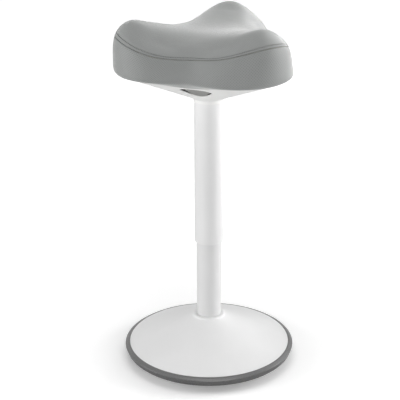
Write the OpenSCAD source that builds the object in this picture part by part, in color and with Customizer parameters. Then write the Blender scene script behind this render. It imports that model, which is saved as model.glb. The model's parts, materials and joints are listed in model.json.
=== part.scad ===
// Saddle stool: a three-lobed padded seat on a gas lift, with a round rocking base.
// +Z runs up the column, the floor is at zero, and -Y is the side with the release paddle.
// The stool is drawn at a middle height: the seat can rise and sink from there.

/* [Base] */
// Widest radius of the rubber rim
rim_r = 175.5; // [165:0.5:190]
// How far the rim stands out past the cover's edge
rim_w = 9.7; // [8.5:0.1:12]
// Height of the rim's top, beside the cover's edge
rim_top_z = 33.5; // [32:0.5:38]
// Height of the rim from its lower edge to its top
rim_h = 17.7; // [16.5:0.1:18.5]
// Height of the collar at the top of the cover
collar_z = 94.5; // [85:0.5:98]
// Width of the cover's collar round the column
collar_w = 7; // [5:0.5:10]
// Sink of the cover between collar and edge: 1 is a straight cone
cover_curve = 1.25; // [1:0.05:1.8]
// Wall of the cover
cover_t = 2.2; // [1.5:0.1:3]
// Radius of the flat sole that the stool stands on
sole_r = 55; // [52:1:60]
// Thickness of the sole
sole_t = 5; // [4:0.5:6]
// Height of the dish over the floor, at the sole's edge
dish_lift = 1.5; // [1:0.1:2.5]
// Wall of the dish
dish_t = 4; // [3:0.2:4.2]
// Thickness of the dish's hub
hub_t = 7; // [6.5:0.5:9]
// Clearance between the ballast's edge and the dish that rises under it
ballast_gap = 0.3; // [0.2:0.1:2]
// Thickness of the cast ballast
ballast_t = 14; // [10:0.5:16]
// Radius of the column flange
flange_r = 60; // [57:1:70]
// Thickness of the column flange
flange_t = 5; // [4:0.5:8]

/* [Column] */
// Radius of the lower tube
tube_r = 25; // [24:0.1:26]
// Wall of the lower tube
tube_t = 2; // [1.5:0.1:2.5]
// Height of the lower tube's top
tube_top_z = 392; // [370:1:395]
// Length of the guide bush in the lower tube
bush_len = 70; // [50:1:90]
// Radius of the upper sleeve
sleeve_r = 28.85; // [28.5:0.05:30]
// Wall of the upper sleeve
sleeve_t = 1.5; // [1:0.1:2]
// Height of the sleeve's lower edge
sleeve_z = 257.7; // [255:0.1:270]
// Height where the sleeve enters the neck of the seat's under pan
neck_z = 554; // [552:0.5:557]
// How far the seat can rise from here
travel_up = 45; // [20:1:50]
// How far the seat can sink from here
travel_down = 155; // [100:1:155]

/* [Gas lift] */
// Radius of the gas cylinder
cyl_r = 14; // [13.5:0.1:14.5]
// Wall of the gas cylinder
cyl_t = 1.5; // [1.2:0.1:2]
// Radius of the piston rod
rod_r = 5; // [4:0.25:5.5]
// Height of the piston
piston_h = 12; // [8:0.5:16]
// Length of the rod guide
guide_len = 22; // [15:1:30]
// Height of the bump buffer
buffer_h = 20; // [15:1:30]
// Radius of the bearing balls
ball_r = 1.5; // [1:0.1:2]
// Number of bearing balls
ball_n = 10; // [6:1:12]
// Radius of the valve pin
valve_r = 3; // [2.5:0.1:3.5]
// Stroke of the valve pin
valve_stroke = 3.3; // [3.2:0.1:4]

/* [Seat] */
// Height of the cushion's underside
seat_z = 617.4; // [615:0.1:622]
// Mean radius of the cushion at its side
seat_r = 167; // [160:1:180]
// How far the three lobes stand out and the valleys between draw in
lobe_r = 26; // [15:0.5:28]
// Height of the cushion from its underside to its middle
cushion_h = 83; // [70:1:95]
// How far the lobes rise and the valleys sink
lobe_rise = 20; // [10:0.5:24]
// Thickness of the cloth
cloth_t = 1.2; // [0.8:0.1:2]
// Width of the raised double seam round the top
seam_w = 5; // [3:0.5:7]
// Height of the board over the cushion's underside
board_lift = 4.2; // [4.2:0.1:6]
// Thickness of the seat board
board_t = 12; // [10:0.5:15]
// Wall of the under pan
pan_t = 2.5; // [2:0.1:2.8]

/* [Bracket and release] */
// Half width of the bracket's channel
channel_x = 33.5; // [32:0.5:36]
// Half length of the bracket
bracket_y = 40; // [38:0.5:41]
// Gap between the corners of the bracket's flanges and the tucked cloth
bracket_gap = 4.4; // [3:0.1:15]
// Thickness of the bracket's steel
bracket_t = 3; // [2:0.5:4]
// Distance of the lever's pin from the column's axis
pivot_y = 30; // [28:0.5:32]
// Radius of the lever's pin
pin_r = 3; // [2.5:0.1:3.5]
// Width of the lever arm
lever_w = 24; // [18:1:28]
// Thickness of the lever arm
lever_t = 4; // [3:0.5:5]
// Width of the paddle's opening in the under pan
hole_w = 68; // [64:1:70]

/* [Hidden] */

// Round parts are true circles; soft shapes and the under pan are cut into this many sectors
$fn = 96;
SECTORS = 60;
// Overrun of cuts, play of running fits, play of loose fits, and gap between moving parts
over = 1;
run_gap = 0.05;
fit_gap = 0.15;
body_gap = 0.3;

// Colours
WHITE = [0.91, 0.91, 0.91];
CLOTH_TOP = [0.60, 0.61, 0.60];
CLOTH_SIDE = [0.53, 0.54, 0.53];
CLOTH_SEAM = [0.38, 0.39, 0.38];
RUBBER = [0.36, 0.36, 0.36];
PADDLE_GREY = [0.58, 0.58, 0.57];
STEEL = [0.62, 0.64, 0.66];
DARK_STEEL = [0.22, 0.23, 0.25];
IRON = [0.30, 0.30, 0.31];
BRASS = [0.72, 0.60, 0.30];
NYLON = [0.16, 0.16, 0.17];
PLYWOOD = [0.76, 0.62, 0.44];
FOAM = [0.88, 0.83, 0.66];

// Cover and rim: the cover's edge sits in a step of the rim, over the dish's upstand
cover_edge_r = rim_r - rim_w;
cover_edge_h = 3.5;
cover_edge_z = rim_top_z - cover_edge_h;
collar_bore_r = tube_r + fit_gap;
collar_r = collar_bore_r + collar_w;
collar_lip_h = 4.5;
rim_low_z = rim_top_z - rim_h;
rim_step_w = 8;
rim_step_t = 4;
// Outline of the rim, as shares of its width outwards and of its height upwards
RIM_OUTLINE_SHARES = [[0.41, 0], [0.66, 0.11], [0.85, 0.36], [0.91, 0.60], [1, 0.63], [1, 0.71],
    [0.91, 0.78], [0.45, 0.96], [0.1, 1]];
// Bead of the cover's collar, as shares of its width outwards and of its lip's height upwards
COLLAR_SHARES = [[1, 0], [0.97, 0.45], [0.86, 0.8], [0.66, 0.98], [0.5, 1]];

// Dish: a shallow dome that the stool rocks on, with a hub and an upstand
dish_out = 2;
dish_rim_drop = 1.3;
dish_land = 2;
hub_over = 7;
dish_r = cover_edge_r + dish_out;
dish_rim_z = rim_low_z - dish_rim_drop;
dish_rim_top_z = cover_edge_z - rim_step_t;
dish_start_r = sole_r + dish_land;
hub_r = sole_r + hub_over;
hub_top_z = sole_t + hub_t;
rock_r = (pow(dish_r, 2) - pow(dish_start_r, 2)) / (2 * (dish_rim_z - dish_lift));
sole_bevel = 1;

// Ballast, flange and their bolts. The ballast lies on the hub, as wide as the dish lets it be
ballast_r = sqrt(pow(dish_start_r, 2)
    + 2 * rock_r * (hub_top_z - ballast_gap - dish_t - dish_lift));
ballast_top_z = hub_top_z + ballast_t;
flange_top_z = ballast_top_z + flange_t;
column_hole_r = 16;
flange_collar_t = 4;
flange_collar_h = 18;
bolt_n = 4;
bolt_r = 4;
bolt_at = (tube_r + fit_gap + flange_collar_t + flange_r) / 2;
bolt_skin = 2;
bolt_end_z = sole_t + bolt_skin;
bolt_head_r = 7.5;
bolt_head_h = 5;
washer_r = 8.4;
washer_t = 1.6;

// Screws that hold the dish to the cover's bosses
screw_n = 6;
screw_r = 2;
screw_len = 16;
screw_head_r = 4;
screw_head_h = 2.4;
boss_r = 5.5;
pad_r = 7;
screw_in = 16;
boss_drop = 4;
screw_grip = 7.3;
screw_at = dish_r - screw_in;
boss_z = dish_rim_top_z - boss_drop;
screw_seat_z = boss_z - screw_grip;

// Stack in the foot of the lower tube: lip, end disc, race, balls, race, buffer
lip_h = 3;
lip_w = 2;
disc_t = 4;
race_t = 1.5;
race_r = 13;
ball_at = 9.5;
cage_t = 1;
cage_w = 3;
tube_in_r = tube_r - tube_t;
disc_z = flange_top_z + lip_h;
race_z = disc_z + disc_t;
ball_z = race_z + race_t + ball_r + run_gap;
upper_race_z = ball_z + ball_r + fit_gap;
buffer_z = upper_race_z + race_t;
buffer_in = 2;
buffer_r = cyl_r - buffer_in;
spigot_step = 1;
spigot_r = rod_r - spigot_step;
spigot_gap = 0.3;
groove_d = 0.6;
clip_t = 1.5;
clip_w = 3.5;
clip_slot = 5;
clip_z = disc_z - body_gap - clip_t;
rod_tail = 1.5;
rod_z = clip_z - rod_tail;
bush_lip_h = 3;

// Gas lift: the cylinder meets the buffer when the seat is right down, and the piston meets
// the rod seal when it is right up
cyl_in_r = cyl_r - cyl_t;
cyl_lip = 2;
cyl_lip_w = 4;
seal_h = 4;
cyl_z = buffer_z + buffer_h + body_gap + travel_down;
piston_z = cyl_z + cyl_lip + guide_len + travel_up + body_gap;
piston_groove_h = 3;
piston_groove_d = 2;
rivet_up = 3;
cyl_drop = 23.4;
cyl_top_z = seat_z - cyl_drop;
taper_len = 34;
taper_in = 0.9;
taper_z = cyl_top_z - taper_len;
cyl_cap_t = 6;
valve_len = 42;
valve_tail = 30;
valve_dome = 1;

// Sleeve, its glide and its collar
sleeve_in_r = sleeve_r - sleeve_t;
sleeve_up = 18;
sleeve_top_z = neck_z + sleeve_up;
sleeve_round = 0.6;
glide_len = 25;
glide_in = 1;
sleeve_collar_len = 15;
sleeve_collar_cap = 2;

// Cloth tucked under the board and held by staples
tuck_w = 14;
staple_n = 24;
staple_w = 10;
staple_d = 1.2;
staple_t = 0.7;
staple_leg = 6;
staple_in = 3;

// Section of the cushion, from the middle of its top over the side to the edge underneath.
// Each row is a control row of a smooth curve; the lobes swing its radius and its height.
ROW_R_SHARES = [0, 0.329, 0.629, 0.765, 0.939, 0.978, 1.001, 0.895];
ROW_LOBE_SHARES = [0, 0, 0.54, 0.667, 1.21, 0.88, 0.893, 1.037];
ROW_FLAT_SHARES = [0, 0, 0.16, 0.093, -0.105, -0.071, -0.146, -0.186];
ROW_Z_SHARES = [0.958, 1.006, 1.015, 0.954, 0.789, 0.275, 0.038, -0.012];
ROW_RISE_SHARES = [0, 0, 0.635, 1.033, 0.76, 0.103, -0.095, 0.16];
ROW_DIP_SHARES = [0, 0, 0.05, 0.448, 0.081, 0.075, 0.024, -0.125];
LAST = len(ROW_R_SHARES) - 1;
seam_row_n = 4;
pole_share = 0.05;
// Length of one row step near the seam, as a share of the cushion's height
seam_step_share = 0.43;
seam_half = seam_w / 2 / (cushion_h * seam_step_share);
welt_half = (seam_w / 2 - fit_gap) / (cushion_h * seam_step_share);
TOP_STEPS = [pole_share, 0.5, 1, 1.5, 2, 2.5, 3, 3.5, seam_row_n - seam_half];
SIDE_STEPS = [seam_row_n + seam_half, 4.5, 5, 5.5, 6, 6.5, LAST];

// Control value of row i at angle a; past its ends the table is mirrored or run on
function row(i, a) = [
    seat_r * ROW_R_SHARES[i] + lobe_r * (ROW_LOBE_SHARES[i] * cos(3 * a)
        + ROW_FLAT_SHARES[i] * cos(6 * a)),
    cushion_h * ROW_Z_SHARES[i] + lobe_rise * (ROW_RISE_SHARES[i] * cos(3 * a)
        + ROW_DIP_SHARES[i] * cos(6 * a))];
function row_past(i, a) = i < 0 ? [-row(-i, a)[0], row(-i, a)[1]]
    : i > LAST ? 2 * row(LAST, a) - row(LAST - 1, a) : row(i, a);

// Weights of a uniform cubic spline at fraction u of its span, and those of its slope
function weights(u) = [pow(1 - u, 3), 3 * pow(u, 3) - 6 * u * u + 4,
    -3 * pow(u, 3) + 3 * u * u + 3 * u + 1, pow(u, 3)] / 6;
function slopes(u) = [-pow(1 - u, 2), 3 * u * u - 4 * u, -3 * u * u + 2 * u + 1, u * u] / 2;
function span(t) = min(floor(t), LAST - 1);

// Point of the section at step t and angle a, pushed inwards by depth along its normal
function section_point(t, a, depth) = let (k = span(t), u = t - k,
    rows = [for (i = [k - 1 : k + 2]) row_past(i, a)],
    p = weights(u) * rows, d = slopes(u) * rows, n = [d[1], -d[0]] / norm(d))
    [p[0] + n[0] * depth, seat_z + p[1] + n[1] * depth];
function turned(p, a) = [p[0] * sin(a), p[0] * cos(a), p[1]];
function angles() = [for (k = [0 : SECTORS - 1]) k * 360 / SECTORS];
function seat_ring(t, depth) = [for (a = angles()) turned(section_point(t, a, depth), a)];

// The edge underneath, and the ring where the tucked cloth ends on the board
function edge(a) = section_point(LAST, a, 0);
function tuck_ring(depth) = [for (a = angles())
    turned([edge(a)[0] - tuck_w, board_z - cloth_t + depth], a)];

// Closed solid through rings of points, from the top down its outside. From ring inner on, the
// rings come back up inside, and their faces are split the other way, to lie parallel.
module ring_solid(rings, closed = false, inner = undef) {
    n = len(rings[0]);
    m = len(rings);
    walls = [for (i = [0 : m - (closed ? 1 : 2)]) for (k = [0 : n - 1])
        let (a = i * n + k, b = i * n + (k + 1) % n, c = ((i + 1) % m) * n + k,
            d = ((i + 1) % m) * n + (k + 1) % n)
        each i < (is_undef(inner) ? m : inner) ? [[a, c, d], [a, d, b]] : [[a, c, b], [b, c, d]]];
    caps = closed ? [] : [[for (k = [0 : n - 1]) k], [for (k = [n - 1 : -1 : 0]) (m - 1) * n + k]];
    polyhedron([for (r = rings) each r], concat(walls, caps), convexity = 6);
}

function back(list) = [for (i = [len(list) - 1 : -1 : 0]) list[i]];
function lerp(a, b, u) = a + (b - a) * u;

// Bracket: a channel under the board, with the socket of the cylinder's taper below it
board_z = seat_z + board_lift;
board_over = 4;
taper_out = 6;
channel_z = cyl_top_z - taper_out;
socket_r = 18.5;
socket_len = 26;
bracket_x = sqrt(pow(edge(60)[0] - tuck_w - bracket_gap, 2) - pow(bracket_y, 2));
bracket_bolt_in_x = 17;
bracket_bolt_in_y = 12;
bracket_bolt_x = bracket_x - bracket_bolt_in_x;
bracket_bolt_y = bracket_y - bracket_bolt_in_y;
bracket_bolt_r = 3;
bracket_head_r = 5.5;
bracket_head_h = 4;
bracket_washer_r = 6.5;
bracket_washer_t = 1.2;
nut_r = 4.5;
nut_flange_r = 9;
nut_flange_t = 1.4;
nut_skin = 1;

// Release lever: its arm lies over the valve pin and carries the paddle
pivot_up = 10;
pivot_z = cyl_top_z + pivot_up;
lever_tail = 9;
hub_wall = 3;
hub_half = channel_x - bracket_t - body_gap;
pin_end = 3.5;
pin_groove_at = 1;
pin_groove_w = 1.2;
pin_clip_w = 2.4;
valve_top_z = pivot_z - lever_t / 2 - body_gap;

// Under pan: a neck round the sleeve, flaring into a three-lobed cone
pan_bore_r = sleeve_r + fit_gap;
pan_neck_t = 1;
pan_neck_r = pan_bore_r + pan_neck_t;
pan_neck_h = 7;
flare_w = 2;
flare_h = 7.7;
cone_r = pan_neck_r + flare_w;
cone_z = neck_z + flare_h;
pan_boss_r = 5;
pan_boss_at = (cone_r + seat_r) / 2;
hole_side_r = 16;
hole_tip_r = 16;
FLARE_SHARES = [[0.12, 0.3], [0.4, 0.7], [1, 1]];
// Inner tip and outer side of the opening, as shares of the pan's way out to its front rim
HOLE_SHARES = [0.313, 0.88];
front_rim = edge(180) - [0, body_gap];
front_slope = (front_rim[1] - cone_z) / (front_rim[0] - cone_r);
hole_in = lerp(cone_r, front_rim[0], HOLE_SHARES[0]);
hole_out = lerp(cone_r, front_rim[0], HOLE_SHARES[1]);

// Paddle: a plate inside the opening, parallel to the pan, with a block up to the lever
paddle_off = 4.5;
paddle_t = 3;
paddle_past = 8;
paddle_short = 5;
paddle_side_r = 15;
block_w = 20;
block_past = 4;
block_short = 3;
// The lever ends where the plate's rising top reaches up to it
lever_end_gap = 0.4;
lever_out = cone_r + (pivot_z - lever_t / 2 - lever_end_gap - paddle_off
    - paddle_t * sqrt(1 + pow(front_slope, 2)) - cone_z) / front_slope;
block_in = hole_in + block_past;
block_out = lever_out - block_short;
paddle_rivet_r = 2.5;
paddle_rivet_len = 6;
paddle_head_r = 4;
paddle_head_h = 1.5;
paddle_rivet_in = 0.5;

module ring_part(outer, inner, height) {
    difference() {
        cylinder(r = outer, h = height);
        translate([0, 0, -over]) cylinder(r = inner, h = height + 2 * over);
    }
}

module around(count, radius) {
    for (i = [0 : count - 1]) rotate(i * 360 / count) translate([radius, 0, 0]) children();
}

module at_corners(x, y) {
    for (sx = [-1, 1], sy = [-1, 1]) translate([sx * x, sy * y, 0]) children();
}

// Base

// Height of the cover's outer face at radius r
function cover_z(r) = let (u = (cover_edge_r - r) / (cover_edge_r - collar_r))
    rim_top_z + (collar_z - collar_lip_h - rim_top_z) * pow(u, cover_curve);
COVER_CUTS = 24;
cover_radii = [for (i = [0 : COVER_CUTS]) lerp(cover_edge_r, collar_r, i / COVER_CUTS)];
cover_outline = concat([[cover_edge_r, cover_edge_z]], [for (r = cover_radii) [r, cover_z(r)]],
    [for (s = COLLAR_SHARES)
        [collar_bore_r + s[0] * collar_w, collar_z - collar_lip_h * (1 - s[1])]],
    [[collar_bore_r, collar_z]]);

module base_cover() {
    color(WHITE) difference() {
        union() {
            rotate_extrude() polygon(concat(cover_outline,
                [[collar_bore_r, collar_z - collar_lip_h - 2 * cover_t]],
                [for (r = back(cover_radii)) if (r < cover_edge_r - 2 * cover_t)
                    [r, cover_z(r) - cover_t]],
                [[cover_edge_r - 2 * cover_t, cover_edge_z]]));
            intersection() {
                around(screw_n, screw_at) translate([0, 0, boss_z]) cylinder(r = boss_r, h = rim_h);
                rotate_extrude() polygon(concat([[0, 0], [cover_edge_r, 0]], cover_outline,
                    [[0, collar_z]]));
            }
        }
        around(screw_n, screw_at) translate([0, 0, boss_z - over])
            cylinder(r = screw_r + fit_gap, h = screw_seat_z + screw_len + over - boss_z + over);
    }
}

module rim_ring() {
    color(RUBBER) rotate_extrude() polygon(concat(
        [[dish_r + fit_gap, rim_low_z]],
        [for (s = RIM_OUTLINE_SHARES) [cover_edge_r + s[0] * rim_w, rim_low_z + s[1] * rim_h]],
        [[cover_edge_r + fit_gap, rim_top_z], [cover_edge_r + fit_gap, cover_edge_z],
            [cover_edge_r - rim_step_w, cover_edge_z], [cover_edge_r - rim_step_w, dish_rim_top_z],
            [dish_r + fit_gap, dish_rim_top_z]]));
}

// Height of the dish's underside at radius r
function dish_z(r) = dish_lift + (r * r - dish_start_r * dish_start_r) / (2 * rock_r);
DISH_CUTS = 16;
dish_radii = [for (i = [0 : DISH_CUTS]) lerp(dish_start_r, dish_r, i / DISH_CUTS)];

module base_dish() {
    color(NYLON) difference() {
        union() {
            rotate_extrude() polygon(concat(
                [[0, sole_t], [sole_r + fit_gap, sole_t], [sole_r + fit_gap, dish_lift]],
                [for (r = dish_radii) [r, dish_z(r)]],
                [[dish_r, dish_rim_top_z], [dish_r - dish_t, dish_rim_top_z]],
                [for (r = back(dish_radii)) if (r > hub_r && r < dish_r - dish_t)
                    [r, dish_z(r) + dish_t]],
                [[hub_r, dish_z(hub_r) + dish_t], [hub_r, hub_top_z], [0, hub_top_z]]));
            around(screw_n, screw_at) translate([0, 0, dish_z(screw_at) + dish_t / 2])
                cylinder(r = pad_r, h = boss_z - dish_z(screw_at) - dish_t / 2);
        }
        around(screw_n, screw_at) {
            cylinder(r = screw_head_r + body_gap, h = screw_seat_z);
            cylinder(r = screw_r + fit_gap, h = boss_z + over);
        }
        around(bolt_n, bolt_at) translate([0, 0, bolt_end_z])
            cylinder(r = bolt_r + fit_gap, h = hub_t);
    }
}

module rubber_sole() {
    color(RUBBER) rotate_extrude() polygon([[0, 0], [sole_r - sole_bevel, 0], [sole_r, sole_bevel],
        [sole_r, sole_t], [0, sole_t]]);
}

module ballast_disc() {
    color(IRON) translate([0, 0, hub_top_z]) difference() {
        ring_part(ballast_r, column_hole_r, ballast_t);
        around(bolt_n, bolt_at) translate([0, 0, -over])
            cylinder(r = bolt_r + fit_gap, h = ballast_t + 2 * over);
    }
}

module column_flange() {
    color(DARK_STEEL) translate([0, 0, ballast_top_z]) difference() {
        union() {
            ring_part(flange_r, column_hole_r, flange_t);
            translate([0, 0, flange_t])
                ring_part(tube_r + fit_gap + flange_collar_t, tube_r + fit_gap, flange_collar_h);
        }
        around(bolt_n, bolt_at) translate([0, 0, -over])
            cylinder(r = bolt_r + fit_gap, h = flange_t + 2 * over);
    }
}

module flange_bolts() {
    color(STEEL) around(bolt_n, bolt_at) {
        translate([0, 0, bolt_end_z]) cylinder(r = bolt_r, h = flange_top_z + washer_t - bolt_end_z);
        translate([0, 0, flange_top_z + washer_t]) cylinder(r = bolt_head_r, h = bolt_head_h, $fn = 6);
    }
}

module flange_washers() {
    color(STEEL) around(bolt_n, bolt_at) translate([0, 0, flange_top_z])
        ring_part(washer_r, bolt_r + fit_gap, washer_t);
}

module cover_screws() {
    color(STEEL) around(screw_n, screw_at) {
        translate([0, 0, screw_seat_z - screw_head_h]) cylinder(r = screw_head_r, h = screw_head_h);
        translate([0, 0, screw_seat_z]) cylinder(r = screw_r, h = screw_len);
    }
}

// Column

module lower_tube() {
    color(WHITE) rotate_extrude() polygon([[tube_in_r - lip_w, flange_top_z], [tube_r, flange_top_z],
        [tube_r, tube_top_z], [tube_in_r, tube_top_z], [tube_in_r, disc_z],
        [tube_in_r - lip_w, disc_z]]);
}

module tube_end_disc() {
    color(STEEL) translate([0, 0, disc_z])
        ring_part(tube_in_r - run_gap, spigot_r + spigot_gap, disc_t);
}

module lower_race() {
    color(STEEL) translate([0, 0, race_z]) ring_part(race_r, spigot_r + spigot_gap, race_t);
}

module ball_cage() {
    color(BRASS) translate([0, 0, ball_z - cage_t / 2]) difference() {
        ring_part(ball_at + cage_w, ball_at - cage_w, cage_t);
        around(ball_n, ball_at) translate([0, 0, -over])
            cylinder(r = ball_r + fit_gap, h = cage_t + 2 * over, $fn = 32);
    }
}

module bearing_balls() {
    color(STEEL) around(ball_n, ball_at) translate([0, 0, ball_z]) sphere(r = ball_r, $fn = 24);
}

module guide_bush() {
    bush_z = tube_top_z - bush_len;
    bush_r = tube_in_r - run_gap;
    color(NYLON) rotate_extrude() polygon([[cyl_r + run_gap, bush_z], [bush_r, bush_z],
        [bush_r, tube_top_z], [tube_r, tube_top_z], [tube_r, tube_top_z + bush_lip_h],
        [cyl_r + run_gap, tube_top_z + bush_lip_h]]);
}

module upper_race() {
    color(STEEL) translate([0, 0, upper_race_z]) ring_part(race_r, spigot_r + run_gap, race_t);
}

module bump_buffer() {
    color(RUBBER) translate([0, 0, buffer_z]) ring_part(buffer_r, rod_r + fit_gap, buffer_h);
}

module piston_rod() {
    groove_r = spigot_r - groove_d;
    rod_top_z = piston_z + piston_h + rivet_up;
    color(STEEL) rotate_extrude() polygon([[0, rod_z], [spigot_r, rod_z], [spigot_r, clip_z],
        [groove_r, clip_z], [groove_r, clip_z + clip_t], [spigot_r, clip_z + clip_t],
        [spigot_r, buffer_z], [rod_r, buffer_z], [rod_r, piston_z], [spigot_r, piston_z],
        [spigot_r, rod_top_z], [0, rod_top_z]]);
}

module rod_clip() {
    color(DARK_STEEL) translate([0, 0, clip_z]) difference() {
        ring_part(spigot_r + clip_w, spigot_r - groove_d + run_gap, clip_t);
        translate([0, -clip_slot / 2, -over])
            cube([spigot_r + clip_w + over, clip_slot, clip_t + 2 * over]);
    }
}

module piston() {
    piston_r = cyl_in_r - run_gap;
    groove_r = piston_r - piston_groove_d;
    groove_z = piston_z + (piston_h - piston_groove_h) / 2;
    color(BRASS) rotate_extrude() polygon([[spigot_r + run_gap, piston_z], [piston_r, piston_z],
        [piston_r, groove_z], [groove_r, groove_z], [groove_r, groove_z + piston_groove_h],
        [piston_r, groove_z + piston_groove_h], [piston_r, piston_z + piston_h],
        [spigot_r + run_gap, piston_z + piston_h]]);
}

module piston_ring() {
    color(RUBBER) translate([0, 0, piston_z + (piston_h - piston_groove_h) / 2 + run_gap])
        ring_part(cyl_in_r - run_gap, cyl_in_r - piston_groove_d, piston_groove_h - 2 * run_gap);
}

// Outer radius of the gas cylinder at height z of its taper
function taper_r(z) = cyl_r - taper_in * (z - taper_z) / taper_len;

module gas_cylinder() {
    lip_in_r = cyl_in_r - cyl_lip_w;
    cap_z = cyl_top_z - cyl_cap_t;
    color(STEEL) rotate_extrude() polygon([[lip_in_r, cyl_z], [cyl_r, cyl_z], [cyl_r, taper_z],
        [taper_r(cyl_top_z), cyl_top_z], [valve_r + fit_gap, cyl_top_z], [valve_r + fit_gap, cap_z],
        [taper_r(cap_z) - cyl_t, cap_z], [cyl_in_r, taper_z], [cyl_in_r, cyl_z + cyl_lip],
        [lip_in_r, cyl_z + cyl_lip]]);
}

module rod_guide() {
    color(BRASS) translate([0, 0, cyl_z + cyl_lip])
        ring_part(cyl_in_r - run_gap, rod_r + run_gap, guide_len - seal_h);
}

module rod_seal() {
    color(RUBBER) translate([0, 0, cyl_z + cyl_lip + guide_len - seal_h])
        ring_part(cyl_in_r - run_gap, rod_r + run_gap, seal_h);
}

module valve_body() {
    cap_z = cyl_top_z - cyl_cap_t;
    hole_z = cyl_top_z - valve_tail - valve_stroke - body_gap;
    color(BRASS) difference() {
        translate([0, 0, cap_z - valve_len])
            cylinder(r = taper_r(cap_z) - cyl_t - fit_gap, h = valve_len);
        translate([0, 0, hole_z]) cylinder(r = valve_r + run_gap, h = cap_z - hole_z + over);
    }
}

module valve_pin() {
    color(STEEL) rotate_extrude() polygon([[0, cyl_top_z - valve_tail],
        [valve_r, cyl_top_z - valve_tail], [valve_r, valve_top_z - valve_dome],
        [0.85 * valve_r, valve_top_z - 0.55 * valve_dome],
        [0.5 * valve_r, valve_top_z - 0.15 * valve_dome], [0, valve_top_z]]);
}

module upper_sleeve() {
    color(WHITE) rotate_extrude() polygon([[sleeve_in_r, sleeve_z],
        [sleeve_r - sleeve_round, sleeve_z], [sleeve_r, sleeve_z + sleeve_round],
        [sleeve_r, sleeve_top_z], [sleeve_in_r, sleeve_top_z]]);
}

module sleeve_glide() {
    color(NYLON) translate([0, 0, sleeve_z + glide_in])
        ring_part(sleeve_in_r - run_gap, tube_r + run_gap, glide_len);
}

module sleeve_collar() {
    collar_in_r = socket_r + fit_gap;
    plug_r = sleeve_in_r - run_gap;
    color(NYLON) rotate_extrude() polygon([[collar_in_r, sleeve_top_z - sleeve_collar_len],
        [plug_r, sleeve_top_z - sleeve_collar_len], [plug_r, sleeve_top_z],
        [sleeve_r, sleeve_top_z], [sleeve_r, sleeve_top_z + sleeve_collar_cap],
        [collar_in_r, sleeve_top_z + sleeve_collar_cap]]);
}

// Seat

module seat_bracket() {
    socket_z = channel_z - socket_len;
    color(DARK_STEEL) difference() {
        union() {
            translate([-channel_x, -bracket_y, channel_z])
                cube([2 * channel_x, 2 * bracket_y, bracket_t]);
            for (x = [-channel_x, channel_x - bracket_t])
                translate([x, -bracket_y, channel_z])
                    cube([bracket_t, 2 * bracket_y, board_z - channel_z]);
            for (x = [-bracket_x, channel_x - bracket_t])
                translate([x, -bracket_y, board_z - bracket_t])
                    cube([bracket_x - channel_x + bracket_t, 2 * bracket_y, bracket_t]);
            translate([0, 0, socket_z]) cylinder(r = socket_r, h = socket_len);
        }
        rotate_extrude() polygon([[0, socket_z - over], [taper_r(socket_z) + run_gap, socket_z - over],
            [taper_r(socket_z) + run_gap, socket_z],
            [taper_r(channel_z + bracket_t) + run_gap, channel_z + bracket_t],
            [taper_r(channel_z + bracket_t) + run_gap, channel_z + bracket_t + over],
            [0, channel_z + bracket_t + over]]);
        translate([-channel_x - over, -pivot_y, pivot_z]) rotate([0, 90, 0])
            cylinder(r = pin_r + run_gap, h = 2 * (channel_x + over));
        at_corners(bracket_bolt_x, bracket_bolt_y) translate([0, 0, board_z - bracket_t - over])
            cylinder(r = bracket_bolt_r + fit_gap, h = bracket_t + 2 * over);
    }
}

module bracket_bolts() {
    head_z = board_z - bracket_t - bracket_washer_t;
    color(STEEL) at_corners(bracket_bolt_x, bracket_bolt_y) {
        translate([0, 0, head_z - bracket_head_h])
            cylinder(r = bracket_head_r, h = bracket_head_h, $fn = 6);
        translate([0, 0, head_z]) cylinder(r = bracket_bolt_r, h = board_z + board_t - nut_skin - head_z);
    }
}

module bracket_washers() {
    color(STEEL) at_corners(bracket_bolt_x, bracket_bolt_y)
        translate([0, 0, board_z - bracket_t - bracket_washer_t])
            ring_part(bracket_washer_r, bracket_bolt_r + fit_gap, bracket_washer_t);
}

module tee_nuts() {
    color(STEEL) at_corners(bracket_bolt_x, bracket_bolt_y) difference() {
        union() {
            translate([0, 0, board_z + nut_skin]) cylinder(r = nut_r, h = board_t - nut_skin);
            translate([0, 0, board_z + board_t - nut_flange_t])
                cylinder(r = nut_flange_r, h = nut_flange_t);
        }
        translate([0, 0, board_z]) cylinder(r = bracket_bolt_r + fit_gap, h = board_t + over);
    }
}

module board_outline(grow) {
    polygon([for (a = angles()) (edge(a)[0] + board_over + grow) * [sin(a), cos(a)]]);
}

module seat_board() {
    color(PLYWOOD) translate([0, 0, board_z]) difference() {
        linear_extrude(board_t) board_outline(0);
        at_corners(bracket_bolt_x, bracket_bolt_y) {
            translate([0, 0, -over]) cylinder(r = nut_r + fit_gap, h = board_t + 2 * over);
            translate([0, 0, board_t - nut_flange_t])
                cylinder(r = nut_flange_r + fit_gap, h = nut_flange_t + over);
        }
    }
}

// Side of the foam's recess round the board, at its lower edge
function recess_edge(a) = let (r = edge(a)[0] + board_over + fit_gap,
    p = section_point(SIDE_STEPS[len(SIDE_STEPS) - 2], a, cloth_t + fit_gap),
    q = section_point(LAST, a, cloth_t + fit_gap))
    [r, lerp(q[1], p[1], (r - q[0]) / (p[0] - q[0]))];

module seat_foam() {
    skin = [for (t = concat(TOP_STEPS, SIDE_STEPS)) if (t < LAST) seat_ring(t, cloth_t + fit_gap)];
    recess = [[for (a = angles()) turned(recess_edge(a), a)],
        [for (a = angles()) turned([recess_edge(a)[0], board_z + board_t], a)]];
    color(FOAM) ring_solid(concat(skin, recess));
}

module top_panel() {
    color(CLOTH_TOP) ring_solid(concat([for (t = TOP_STEPS) seat_ring(t, 0)],
        [for (t = back(TOP_STEPS)) seat_ring(t, cloth_t)]), inner = len(TOP_STEPS));
}

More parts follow.
